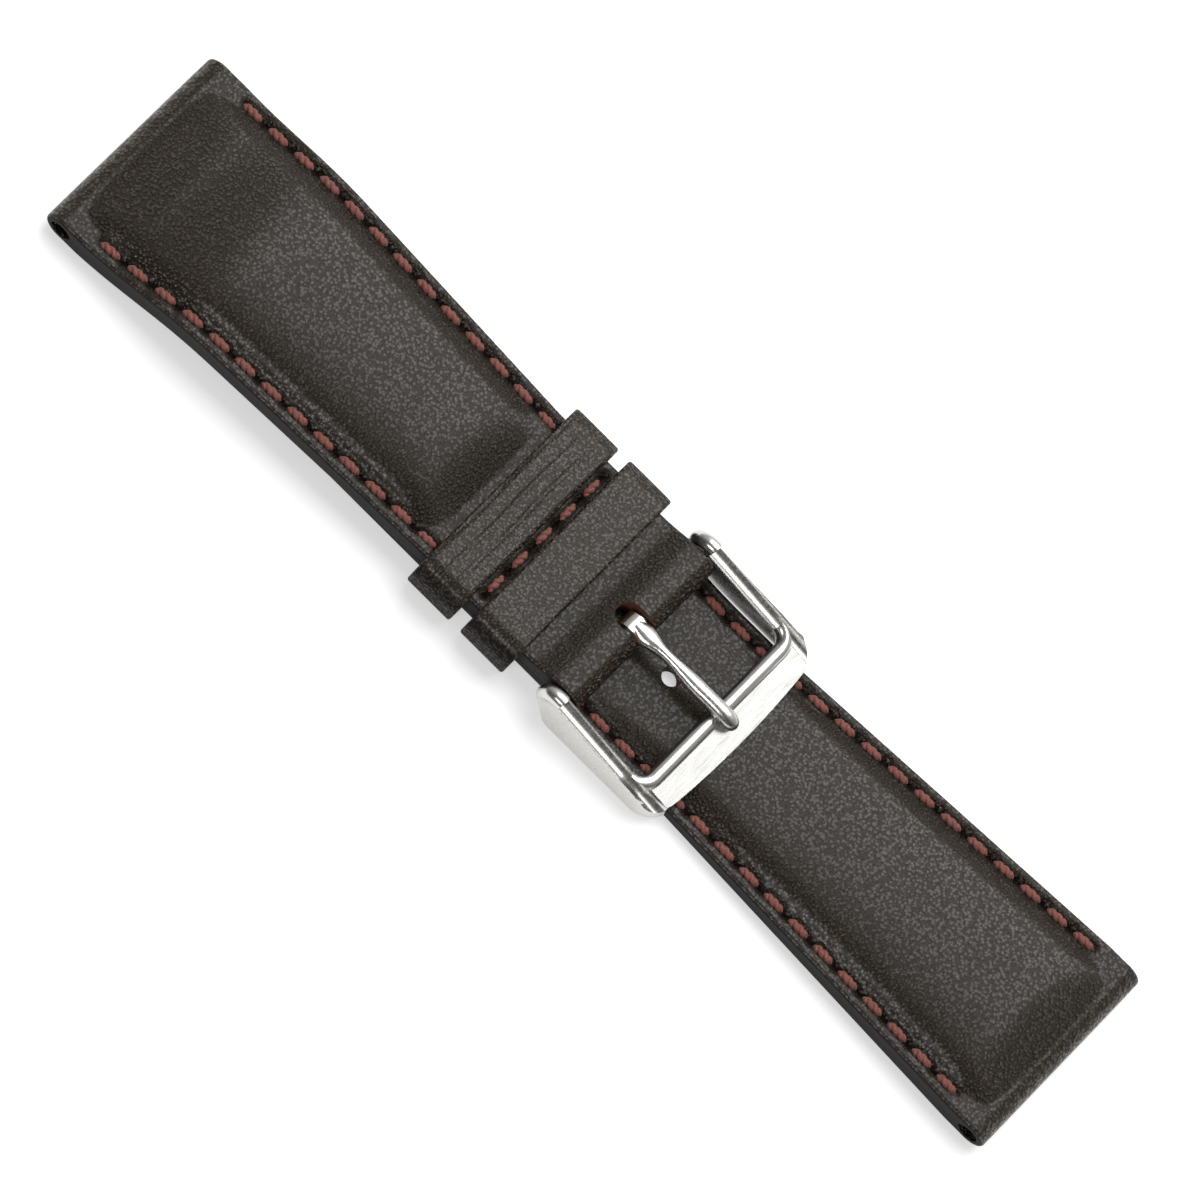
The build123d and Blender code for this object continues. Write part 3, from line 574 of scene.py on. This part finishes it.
def side_loop(x, low, high, left, right):
    """Loop of a half's side view and the line inside it.
    Over the length the loop is the top curve one way and the underside the other way; at an end
    with a hole it is the arc round that hole. An end is its centre's place and height and the
    radii of its outside and its hole. The inner line is the hole's circle, and between the holes
    the line half way up, open by a hair."""
    mid = (low(x) + high(x)) / 2
    hollow = np.full_like(x, 0.012)
    for end in (left, right):
        if end:
            hollow = np.maximum(hollow, np.sqrt(np.maximum(end[3] ** 2 - (x - end[0]) ** 2, 0)))

    def half_turn(end, start):
        """Arc of 180 degrees round an end, clockwise, without its two end points."""
        middle, height, outside, hole = end
        angle = np.linspace(start, start - pi, 26)[1:-1]
        return np.stack([middle + outside * np.cos(angle), height + outside * np.sin(angle),
                         middle + hole * np.cos(angle), height + hole * np.sin(angle)], 1)

    sparse = np.unique(np.concatenate([np.arange(0, len(x), 2), [len(x) - 1]]))
    under = np.stack([x, low(x), x, mid - hollow], 1)[sparse][::-1]
    parts = [np.stack([x, high(x), x, mid + hollow], 1)]
    if right:
        parts.append(half_turn(right, pi / 2))
    parts.append(under)
    if left:
        parts.append(half_turn(left, -pi / 2))
    on_top = np.concatenate([np.full(len(part), part is parts[0]) for part in parts])
    beneath = np.concatenate([np.full(len(part), part is under) for part in parts])
    return np.concatenate(parts), on_top, beneath


def strap_half(name, side, half, relief, lining_ends, sizes):
    """Skin of one half of the strap: the side loop carried across the width.
    A point's place across is its distance from the edge, so the margin keeps its width while the
    strap narrows. At the edge the loop closes in on the inner line along a quarter round. The
    relief is added to the height of the top, and the underside is recessed for the lining."""
    loop, on_top, beneath = side
    outer, inner = loop[:, :2], loop[:, 2:]
    reach = np.linalg.norm(outer - inner, axis=1)
    edge = np.minimum(sizes.edge_round / MM, reach * 0.45)
    width = half(outer[:, 0], sizes)
    turn = np.linspace(0, pi / 2, 6)
    band = 6.2
    inset = np.linspace(1, band, sizes.edge_columns)
    spread = np.linspace(1, 0, 16)[1:]
    close = np.minimum(width / 8.0, 1)
    columns = [width] * 3
    depths = [reach, edge + (reach - edge) * 0.6, edge + (reach - edge) * 0.25]
    for angle in turn[::-1]:
        columns.append(width - edge * close * (1 - np.sin(angle)))
        depths.append(edge * (1 - np.cos(angle)))
    for step in inset:
        far = edge + (step - 1) / (band - 1) * (band - edge)
        columns.append(width - np.maximum(far, edge + 0.01) * close)
        depths.append(np.zeros_like(width))
    for share in spread:
        columns.append((width - band * close) * share)
        depths.append(np.zeros_like(width))
    y = np.stack(columns, 1)
    depth = np.stack(depths, 1)
    y = np.concatenate([-y, y[:, -2::-1]], 1)
    depth = np.concatenate([depth, depth[:, -2::-1]], 1)
    share = (depth / reach[:, None])[..., None]
    xz = outer[:, None, :] * (1 - share) + inner[:, None, :] * share
    lift = np.where(on_top[:, None], relief(xz[..., 0], y, width[:, None]), 0)
    lift = lift * (1 - depth / np.maximum(reach[:, None], 0.01))
    room = lining_recess(xz[..., 0], y, width[:, None], *lining_ends)
    sunk = np.where(beneath[:, None], room, 0) * (depth == 0)
    grid = np.stack([xz[..., 0], y, xz[..., 1] + lift + sunk], -1)
    return grid_object(name, grid, True, LEATHER_ANGLE)


def row_dip(x, y, width, row, sizes):
    """Sewn channel: a shallow trough along the row, with a pit where the thread goes in.
    The trough is a bell curve of the distance from the row, the pits are bell curves of the
    distance from the ends of the stitches. A row is its start, its end and a place of a pit."""
    inset = width - np.abs(y)
    start, end, pit = row
    inside = soft_step(x - start, ROW_FADE) * soft_step(end - x, ROW_FADE)
    across = bell(inset - sizes.stitch_inset / MM, CHANNEL_WIDTH)
    rim = bell(inset - 0.7, CHANNEL_WIDTH)
    pits = bell(off_pitch(x - pit, sizes.stitch_pitch / MM), CHANNEL_WIDTH)
    return (-sizes.channel_depth / MM * inside * across * (0.8 + 1.1 * pits)
            - 0.07 * inside * rim * pits)


def lining_recess(x, y, width, start, end):
    """Step under the turned rim where the lining lies."""
    inside = soft_step(x - start, 0.05) * soft_step(end - x, 0.05)
    return RECESS_DEPTH * inside * soft_step(width - np.abs(y) - LINING_RIM, 0.03)


def keeper_surface(name, node, sizes, creases):
    """Keeper: an upright rounded rectangle round the strap, carried along the strap's length.
    Its wall closes on itself over two quarter-round cut edges. The top bows out by a hair in the
    middle, dips towards its cut edges and has shallow creases."""
    low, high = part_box(node)
    x0, x1 = low[0] / MM, high[0] / MM
    half, top = high[1] / MM, high[2] / MM
    wall, outer_round, inner_round = 1.1, 2.6, 1.3
    corner_points, side_points, upright_points = 12, 44, 10

    def ring(inset, radius):
        """Rounded rectangle, evenly spaced in each of its sides and corners."""
        w, h = half - inset, top / 2 - inset
        turn = np.linspace(0, pi / 2, corner_points)
        corner = np.stack([np.cos(turn), np.sin(turn)], 1) * radius + (w - radius, h - radius)
        across = np.linspace(w - radius, -(w - radius), side_points)[1:-1]
        upright = np.linspace(h - radius, -(h - radius), upright_points)[1:-1]
        return np.concatenate([
            corner, np.stack([across, np.full_like(across, h)], 1), (corner * (-1, 1))[::-1],
            np.stack([np.full_like(upright, -w), upright], 1), corner * (-1, -1),
            np.stack([-across, np.full_like(across, -h)], 1), (corner * (1, -1))[::-1],
            np.stack([np.full_like(upright, w), -upright], 1),
        ])

    outside, inside = ring(0, outer_round), ring(wall, inner_round)
    edge = sizes.keeper_round / MM
    turn = np.linspace(0, pi / 2, 5)
    across = x1 - edge + edge * np.sin(turn)
    share = edge / wall * (1 - np.cos(turn))
    across = np.concatenate([across, across[::-1]])
    share = np.concatenate([share, 1 - share[::-1]])
    face = np.linspace(x0 + edge, x1 - edge, 30)[1:-1]
    across = np.concatenate([across, x0 + x1 - across[::-1], face])
    share = np.concatenate([share, share[::-1], np.zeros(len(face))])
    part = share[None, :, None]
    grid = outside[:, None, :] * (1 - part) + inside[:, None, :] * part
    y, z = grid[..., 0], grid[..., 1]
    x = np.broadcast_to(across[None, :], y.shape)
    out = 1 - share[None, :]
    bow = 0.10 * np.cos(pi / 2 * y / half) ** 2
    middle = (x - (x0 + x1) / 2) / (x1 - x0)
    pillow = -0.10 * (2 * middle) ** 4
    crease = creases * (np.sin(x * 4.1 + 0.5 * np.sin(y * 0.6))
                        + 0.6 * np.sin(x * 7.3 + 0.7 * np.sin(y * 0.4)))
    crease = crease * np.abs(np.cos(pi / 2 * y / half)) ** 0.3
    z = z + np.where(z > 0, 1, 0) * out * (bow + pillow + crease)
    return grid_object(name, np.stack([x, y, z + top / 2], -1), True, LEATHER_ANGLE)


def thread_rows(name, x, y, turn, high, lowered, sizes):
    """Stitches of twisted thread. Each is a tube along its row: the section is an oval whose
    radius follows the absolute cosine of the angle less the twist, which leaves a valley between
    the plies, and the line of the tube dives into the leather at both ends."""
    s = np.linspace(-1, 1, 33)
    a = np.linspace(0, 2 * pi, 17)[:-1]
    half_length = sizes.stitch_length / MM / 2
    radius = sizes.thread_width / MM / 2
    envelope = np.sqrt(np.maximum(1 - np.abs(s) ** 3, 0))
    twist = sizes.thread_turns * pi * s[:, None] / 1.4
    ply = radius * envelope[:, None] * (0.62 + 0.46 * np.abs(np.cos(a[None, :] - twist)) ** 0.7)
    across = ply * np.cos(a)[None, :]
    up = 0.74 * ply * np.sin(a)[None, :] - 0.34 * np.abs(s[:, None]) ** 3.5
    along = np.broadcast_to(s[:, None] * half_length, across.shape)
    step = half_length / 2
    reach = step * np.cos(turn)
    lean = np.arctan2(high(x + reach) - high(x - reach), 2 * step)
    e1 = np.stack([np.cos(turn) * np.cos(lean), np.sin(turn) * np.cos(lean), np.sin(lean)], -1)
    e2 = np.stack([-np.sin(turn), np.cos(turn), np.zeros_like(turn)], -1)
    e3 = np.cross(e1, e2)
    base = np.stack([x, y, high(x) - 0.12 - lowered], -1)
    points = base[:, None, None, :]
    for offset, axis in ((along, e1), (across, e2), (up, e3)):
        points = points + offset[None, ..., None] * axis[:, None, None, :]
    cells = grid_triangles(len(s), len(a), False)
    shift = np.arange(len(x))[:, None, None] * len(s) * len(a)
    triangles = (cells[None] + shift).reshape(-1, 3)
    return merge_mesh(name, points.reshape(-1, 3), triangles, THREAD_ANGLE)


def tip_row(sizes):
    """Places and headings of the stitches round the tip, evenly spaced along their line."""
    inset = sizes.stitch_inset / MM
    pitch = sizes.stitch_pitch / MM
    side = sizes.tail_width / MM / 2 - inset
    last = LUG_X - FIRST_MIDDLE - (TAIL_STITCHES - 1) * pitch
    line = np.concatenate([[(last, side)], tip_line(inset, sizes), [(last, -side)]])
    run = np.concatenate([[0], np.cumsum(np.linalg.norm(np.diff(line, axis=0), axis=1))])
    gaps = int(round(run[-1] / pitch))
    spots = run[-1] * np.arange(1, gaps) / gaps

    def at(place_on_line):
        """Points of the line at a distance along it."""
        return np.array([np.interp(place_on_line, run, line[:, axis]) for axis in (0, 1)])

    x, y = at(spots)
    ahead = at(spots + 0.4) - at(spots - 0.4)
    return x, y, np.arctan2(ahead[1], ahead[0])


def circle(radius, count):
    """Points evenly spaced on a circle."""
    turn = np.linspace(0, 2 * pi, count + 1)[:-1]
    return radius * np.stack([np.cos(turn), np.sin(turn)], 1)


def punch(obj, outline, centre_x, flare, top, high, low, wall):
    """Punch a hole: an upright prism on an outline, flared where it meets the surface, is cut
    out of a piece and leaves a wall of another finish."""
    rings = []
    for height, grow in ((None, 0), (-0.3, 0), (0.02, flare), (1.5, flare * 3)):
        x = centre_x + outline[:, 0] * (1 + grow)
        y = outline[:, 1] * (1 + grow)
        z = np.full_like(x, low) if height is None else high(x) + top + height
        rings.append(np.stack([x, y, z], -1))
    grid = closed_ends(np.stack(rings))
    cutter = grid_object(obj.name + "_punch", grid, False, CUT_ANGLE)
    finish(cutter, wall)
    cut(obj, cutter)


def closed_ends(rows):
    """Rows of a grid with a row more at each end, in which all points are the end's centre."""
    first, last = (np.broadcast_to(rows[i].mean(0), rows[:1].shape) for i in (0, -1))
    return np.concatenate([first, rows, last])


# ---- Operators ----

class STRAP_OT_finishes(bpy.types.Operator):
    """Make the leather, thread and steel finishes"""
    bl_idname = "strap.finishes"
    bl_label = "Finishes"

    def execute(self, context):
        colours = context.scene.strap_colours
        grain_group()
        fibre_group()
        dyes = (colours.leather_dark, colours.leather_light, colours.crease_shade)
        leather_material("Strap leather", *dyes, 2350.0, 0.00055, 0.28, 0.6)
        leather_material("Keeper leather", *dyes, 2500.0, 0.00034, 0.28, 0.6)
        leather_material("Lining leather", (0.36, 0.25, 0.18), (0.43, 0.30, 0.21),
                         (0.24, 0.15, 0.10), 2600.0, 0.00003, 0.62, 0.0)
        paint_tone = (0.085, 0.065, 0.06)
        fibre_material("Painted edge", paint_tone, [0.55 * channel for channel in paint_tone],
                       ((0.25, 1.0, 1.0), 3500.0), (0.35, 0.65), 0.5, 0.00006,
                       Roughness=0.62, Specular_IOR_Level=0.16)
        for name, light, dark in (("Raw leather edge", colours.raw_edge, (0.36, 0.21, 0.13)),
                                  ("Hole wall", colours.hole_edge, (0.14, 0.07, 0.06))):
            fibre_material(name, light, dark, ((1.0, 1.0, 0.4), 9000.0), (0.35, 0.7), 0.6, 0.00006,
                           Roughness=0.85)
        fibre_material("Thread", colours.thread_light, colours.thread_dark,
                       ((0.35, 1.0, 1.0), 12000.0), (0.32, 0.66), 0.7, 0.00008,
                       Roughness=0.55, Sheen_Weight=0.25)
        steel_material("Polished steel", colours.steel, 0.20, 2500.0, 0.000001)
        steel_material("Turned steel", (0.74, 0.74, 0.74), 0.26, 9000.0, 0.000008)
        return {"FINISHED"}


class STRAP_OT_buckle_half(bpy.types.Operator):
    """Build the buckle half: outer leather with its padding, fold and tongue slot, and lining"""
    bl_idname = "strap.buckle_half"
    bl_label = "Buckle half"

    def execute(self, context):
        sizes = context.scene.strap_sizes
        x = np.linspace(-TUBE_X, BAR_X, int((BAR_X + TUBE_X) / (sizes.step / MM)))
        side = side_loop(
            x, short_low, short_high, (-TUBE_X, TUBE_RADIUS, TUBE_RADIUS, TUNNEL_RADIUS),
            (BAR_X, BAR_Z, LOOP_RADIUS, BAR_HOLE))
        lining_ends = (-TUNNEL_END, SHORT_LINING_END)

        def relief(x, y, width):
            """Crown, side rows and cross row."""
            inset = width - np.abs(y)
            row = (-LUG_X + ROW_START, SHORT_ROW_END, -LUG_X + FIRST_GAP)
            cross = bell(x - FOLD_ROW_X, CHANNEL_WIDTH) * soft_step(inset - 1.2, ROW_FADE)
            pitch = sizes.stitch_pitch / MM
            pits = bell(off_pitch(y + pitch / 2, pitch), CHANNEL_WIDTH)
            return (crown(x, inset, width, SHORT_CROWN, sizes) + row_dip(x, y, width, row, sizes)
                    - cross * sizes.channel_depth / MM * (0.8 + 1.1 * pits))

        upper = strap_half("buckle_half_leather", side, short_half, relief, lining_ends, sizes)
        finish(upper, "Strap leather", "Painted edge")
        paint_edges(upper)
        slot = circle(SLOT_HALF, 48)
        slot[:, 0] += np.where(slot[:, 0] > 0, 6.0, 0)
        punch(upper, slot, SLOT_X + SLOT_HALF, 0.05, 0.0,
              lambda x: short_high(np.minimum(x, BAR_X)), 1.5, "Raw leather edge")

        def painted_shade(x, y, z):
            """Share of painted shade in the sewn channel, along the side rows and the cross row.
            """
            inset = short_half(x, sizes) - np.abs(y)
            along = (soft_step(x + LUG_X - ROW_START, ROW_FADE)
                     * soft_step(SHORT_ROW_END - x, ROW_FADE))
            rows = along * bell(inset - sizes.stitch_inset / MM, PAINTED_SHADE_WIDTH)
            cross = bell(x - FOLD_ROW_X, PAINTED_SHADE_WIDTH) * soft_step(inset - 1.2, ROW_FADE)
            return np.maximum(rows, cross) * (z > short_low(x) + 1.0)

        def worn(x, y, z):
            """Share of wear, on the round end of the fold above the bar."""
            return soft_step(x - 6.05, 0.12) * soft_step(7.3 - x, 0.1) * (z > 4.2) * 0.8

        # Painted shade along the sewn channels
        paint(upper, "painted_shade", painted_shade)
        paint(upper, "worn", worn)
        dress(upper, "buckle_half", ["buckle_half_upper", "buckle_half_pad", "buckle_half_filler"],
              "Strap leather")
        lining = lining_panel("buckle_half_lining_leather", lining_ends, short_low, short_half,
                              sizes)
        dress(lining, "buckle_half", ["buckle_half_lining"], "Lining leather")
        return {"FINISHED"}


def lining_panel(name, ends, low, half, sizes):
    """Lining: a thin panel under the strap, a rim narrower than it, with rounded lower edges.
    The tail's lining narrows at its ends."""
    start, end = ends
    x = np.linspace(start, end, 160)
    width = half(x, sizes) - LINING_RIM
    if start > -TUNNEL_END:
        width = np.minimum(width, np.minimum(x - start, end - x) * 4 + 9.5)
    turn = np.linspace(0, pi / 2, 5)
    top = 0.5
    side = 1 - 0.012 * (1 - np.cos(turn))
    rise = 0.12 * (1 - np.sin(turn))
    y = np.concatenate([[-1], -side, np.linspace(-0.985, 0.985, 20), side[::-1], [1]])
    drop = np.concatenate([[top], rise, np.zeros(20), rise[::-1], [top]])
    under = np.stack(np.broadcast_arrays(
        x[:, None], width[:, None] * y[None, :], low(x)[:, None] + drop[None, :]), -1)
    over = under[:, ::-1].copy()
    over[..., 2] = low(x)[:, None] + top
    return grid_object(name, closed_ends(np.concatenate([under, over], 1)), False, CUT_ANGLE)


class STRAP_OT_tail_half(bpy.types.Operator):
    """Build the tail half: outer leather with its padding, tip and adjusting holes, and lining"""
    bl_idname = "strap.tail_half"
    bl_label = "Tail half"

    def execute(self, context):
        sizes = context.scene.strap_sizes
        tip_end = TIP_X + TIP_LENGTH
        near = TIP_X + TIP_LENGTH * np.linspace(0.012, 1, 60) ** 2
        far = np.linspace(tip_end, TUBE_X, int((TUBE_X - tip_end) / (sizes.step / MM)))
        side = side_loop(np.concatenate([near, far[1:]]), tail_low, tail_high, None,
                         (TUBE_X, TUBE_RADIUS, TUBE_RADIUS, TUNNEL_RADIUS))
        lining_ends = (TAIL_LINING_START, TUNNEL_END)
        line = tip_line(sizes.stitch_inset / MM, sizes)

        def relief(x, y, width):
            """Crown, side rows, and the channel round the tip."""
            row = (tip_end, LUG_X - ROW_START, LUG_X - FIRST_GAP)
            z = (crown(x, width - np.abs(y), width, TAIL_CROWN, sizes)
                 + row_dip(x, y, width, row, sizes))
            close = x < tip_end + 0.5
            spots = np.stack([x[close], y[close]], -1)
            away = np.sqrt(((spots[:, None, :] - line[None]) ** 2).sum(-1)).min(1)
            z[close] -= sizes.channel_depth / MM * bell(away, CHANNEL_WIDTH)
            return z

        upper = strap_half("tail_half_leather", side, tail_half, relief, lining_ends, sizes)
        finish(upper, "Strap leather", "Painted edge")
        paint_edges(upper)
        ring = circle(HOLE_RADIUS, 32)
        middle = 11.0
        for hole_x in HOLES_X:
            top = float(crown(hole_x, middle, middle, TAIL_CROWN, sizes))
            punch(upper, ring, hole_x, 0.12, top, tail_high, -1.0, "Hole wall")

        def painted_shade(x, y, z):
            """Share of painted shade in the sewn channel along the two side rows, which start past
            the tip.
            """
            inset = tail_half(x, sizes) - np.abs(y)
            along = soft_step(x - tip_end, ROW_FADE) * soft_step(LUG_X - ROW_START - x, ROW_FADE)
            return (along * bell(inset - sizes.stitch_inset / MM, PAINTED_SHADE_WIDTH)
                    * (z > tail_low(x) + 1.0))

        paint(upper, "painted_shade", painted_shade)
        dress(upper, "tail_half", ["tail_upper", "tail_pad", "tail_filler"], "Strap leather")
        lining = lining_panel("tail_lining_leather", lining_ends, tail_low, tail_half, sizes)
        finish(lining, "Lining leather")
        for hole_x in HOLES_X:
            punch(lining, ring, hole_x, 0.0, 0.0, tail_high, -1.0, "Hole wall")
        dress(lining, "tail_half", ["tail_lining"], "Lining leather")
        return {"FINISHED"}


class STRAP_OT_stitches(bpy.types.Operator):
    """Sew the rows of twisted thread"""
    bl_idname = "strap.stitches"
    bl_label = "Stitches"

    def execute(self, context):
        sizes = context.scene.strap_sizes
        pitch = sizes.stitch_pitch / MM
        inset = sizes.stitch_inset / MM
        short_x = -LUG_X + FIRST_MIDDLE + pitch * np.arange(SHORT_STITCHES)
        tail_x = LUG_X - FIRST_MIDDLE - pitch * np.arange(TAIL_STITCHES)
        short_turn = np.arctan2(1.8, PAD_END + LUG_X - STRAIGHT_LUG) * (short_x < PAD_END)
        tail_turn = np.arctan2(2.0, LUG_X - STRAIGHT_LUG - BODY_START) * (tail_x > BODY_START)

        def sew(name, body, node, x, y, turn, sunk):
            """Sew a row into the top of a body's half, sunk below it where told."""
            high = short_high if body == "buckle_half" else tail_high
            row = thread_rows(name, x, y, turn, high, THREAD_SUNK * sunk, sizes)
            dress(row, body, [node], "Thread")

        for side, word in ((1, "left"), (-1, "right")):
            sew("buckle_half_thread_" + word, "buckle_half", "buckle_half_stitches_" + word,
                short_x, side * (short_half(short_x, sizes) - inset), -side * short_turn,
                short_x > -18)
            sew("tail_thread_" + word, "tail_half", "tail_stitches_" + word,
                tail_x, side * (tail_half(tail_x, sizes) - inset), side * tail_turn, tail_x < 7)
        x, y, turn = tip_row(sizes)
        sew("tail_tip_thread", "tail_half", "tail_tip_stitches", x, y, turn, np.ones(len(x)))
        y = pitch * np.arange(-2, 3)
        all_of_it = np.ones(len(y))
        sew("fold_thread", "buckle_half", "fold_stitches", FOLD_ROW_X * all_of_it, y,
            pi / 2 * all_of_it, all_of_it)
        return {"FINISHED"}


class STRAP_OT_keepers(bpy.types.Operator):
    """Build the two leather keepers"""
    bl_idname = "strap.keepers"
    bl_label = "Keepers"

    def execute(self, context):
        sizes = context.scene.strap_sizes
        free = keeper_surface("free_keeper_leather", "free_keeper", sizes, 0.05)
        dress(free, "free_keeper", ["free_keeper"], "Keeper leather")
        fixed = keeper_surface("fixed_keeper_leather", "fixed_keeper", sizes, 0.01)
        dress(fixed, "buckle_half", ["fixed_keeper"], "Keeper leather")

        def painted_shade(x, y, z):
            """Share of painted shade on the keepers' upright ends."""
            return 0.75 * soft_step(np.abs(y) - 12.3, 0.4)

        # Painted shade on the keepers' upright ends
        for keeper in (free, fixed):
            paint(keeper, "painted_shade", painted_shade)
        return {"FINISHED"}


class STRAP_OT_buckle(bpy.types.Operator):
    """Polish the buckle, its tongue and the spring bar"""
    bl_idname = "strap.buckle"
    bl_label = "Buckle"

    def execute(self, context):
        polished, turned = "Polished steel", "Turned steel"
        for node, name in (("buckle_frame", polished), ("buckle_tongue", polished),
                           ("spring_bar_tube", turned), ("spring_bar_tip_left", turned),
                           ("spring_bar_tip_right", turned), ("spring_bar_spring", turned)):
            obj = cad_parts[node]
            obj.data.materials.clear()
            finish(obj, name)
        for node, width in (("buckle_frame", 0.00012), ("buckle_tongue", 0.00008)):
            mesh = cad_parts[node].data
            points = read_all(mesh.vertices, "co", 3) / MM
            corners = read_all(mesh.loops, "vertex_index", 1, np.int32).reshape(-1, 3)
            obj = merge_mesh(node + "_polished", points, corners, STEEL_ANGLE)
            soft = obj.modifiers.new("Soft edges", "BEVEL")
            soft.width = width
            soft.segments = 3
            soft.limit_method = "ANGLE"
            soft.angle_limit = radians(STEEL_ANGLE)
            soft.harden_normals = True
            dress(obj, node, [node], polished)
        return {"FINISHED"}


class STRAP_OT_stage(bpy.types.Operator):
    """Set the floor, the lights and the camera"""
    bl_idname = "strap.stage"
    bl_label = "Stage"

    def execute(self, context):
        scene = context.scene
        size, level = 3.0, -0.00002
        mesh = bpy.data.meshes.new("floor")
        mesh.from_pydata([(-size, -size, level), (size, -size, level), (size, size, level),
                          (-size, size, level)], [], [(0, 1, 2, 3)])
        floor = bpy.data.objects.new("floor", mesh)
        scene.collection.objects.link(floor)
        tree, shader = new_material(
            "Floor paper", Base_Color=linear(scene.strap_colours.floor), Roughness=1.0,
            Specular_IOR_Level=0.0, Emission_Color=(1, 1, 1, 1))
        seen = place(tree, "ShaderNodeLightPath").outputs
        glow = maths(tree, "MAXIMUM", seen["Is Camera Ray"],
                     maths(tree, "MAXIMUM", seen["Is Glossy Ray"], seen["Is Transmission Ray"]))
        tree.links.new(times(tree, glow, 0.5), shader.inputs["Emission Strength"])
        finish(floor, "Floor paper")

        world = bpy.data.worlds.new("Studio")
        scene.world = world
        world.use_nodes = True
        tree = world.node_tree
        back = tree.nodes["Background"]
        where = place(tree, "ShaderNodeTexCoord")
        split = place(tree, "ShaderNodeSeparateXYZ")
        tree.links.new(where.outputs["Generated"], split.inputs[0])
        far_side = maths(tree, "ADD", times(tree, split.outputs["Y"], 0.7),
                         times(tree, split.outputs["Z"], 0.3))
        tree.links.new(ramp_of(tree, far_side, -0.1, 0.9, 0.06, 0.8), back.inputs["Strength"])
        back.inputs["Color"].default_value = (1, 1, 1, 1)

        def soft_light(name, place_at, width, height, power):
            """Soft box: an area light that looks at the strap's middle."""
            light = bpy.data.lights.new(name, "AREA")
            light.shape = "RECTANGLE"
            light.size, light.size_y = width, height
            light.energy = power
            lamp = bpy.data.objects.new(name, light)
            lamp.location = place_at
            lamp.rotation_euler = (-Vector(place_at)).to_track_quat("-Z", "Y").to_euler()
            scene.collection.objects.link(lamp)

        soft_light("far_panel", (0.0, 0.45, 0.77), 0.75, 0.76, 8.4)
        soft_light("near_box", (-0.05, -0.52, 0.50), 0.30, 0.14, 1.1)

        # The camera stands far off, so that the photo's frame is 1200 pixels at 9.24 per mm
        frame_width, sensor = 1200 * MM / 9.24, 36.0
        tilt = radians(71.5)
        roll = radians(44.86)
        back_to = Vector((0, -cos(tilt), sin(tilt)))
        right0, up0 = Vector((1, 0, 0)), Vector((0, sin(tilt), cos(tilt)))
        right = right0 * cos(roll) + up0 * sin(roll)
        up = up0 * cos(roll) - right0 * sin(roll)
        target = Vector((0.000364, 0.00025, 0.003))
        distance = 1.2
        camera_data = bpy.data.cameras.new("camera")
        camera_data.sensor_width = sensor
        camera_data.lens = sensor * distance / frame_width
        camera_data.clip_start = 0.01
        camera = bpy.data.objects.new("camera", camera_data)
        turn = Matrix((right, up, back_to)).transposed().to_4x4()
        camera.matrix_world = Matrix.Translation(target + back_to * distance) @ turn
        scene.collection.objects.link(camera)
        scene.camera = camera
        scene.view_settings.view_transform = "Standard"
        return {"FINISHED"}


class STRAP_PT_panel(bpy.types.Panel):
    """Sizes, colours and pieces of the strap"""
    bl_idname = "STRAP_PT_panel"
    bl_label = "Watch strap"
    bl_space_type = "VIEW_3D"
    bl_region_type = "UI"
    bl_category = "Strap"

    def draw(self, context):
        layout = self.layout
        for group in (context.scene.strap_sizes, context.scene.strap_colours):
            box = layout.box()
            for key in group.bl_rna.properties.keys():
                if key not in ("rna_type", "name"):
                    box.prop(group, key)
        for operator in OPERATORS:
            layout.operator(operator.bl_idname)


OPERATORS = (STRAP_OT_finishes, STRAP_OT_buckle_half, STRAP_OT_tail_half, STRAP_OT_stitches,
             STRAP_OT_keepers, STRAP_OT_buckle, STRAP_OT_stage)
CLASSES = (StrapSizes, StrapColours) + OPERATORS + (STRAP_PT_panel,)


def register():
    """Register the classes and hang the settings on the scene."""
    for cls in CLASSES:
        bpy.utils.register_class(cls)
    bpy.types.Scene.strap_sizes = PointerProperty(type=StrapSizes)
    bpy.types.Scene.strap_colours = PointerProperty(type=StrapColours)


def unregister():
    """Take the settings and classes away again."""
    del bpy.types.Scene.strap_colours
    del bpy.types.Scene.strap_sizes
    for cls in reversed(CLASSES):
        bpy.utils.unregister_class(cls)


def main():
    """Build the strap."""
    register()
    bpy.ops.strap.finishes()
    bpy.ops.strap.buckle_half()
    bpy.ops.strap.tail_half()
    bpy.ops.strap.stitches()
    bpy.ops.strap.keepers()
    bpy.ops.strap.buckle()
    bpy.ops.strap.stage()


if __name__ == "__main__":
    main()
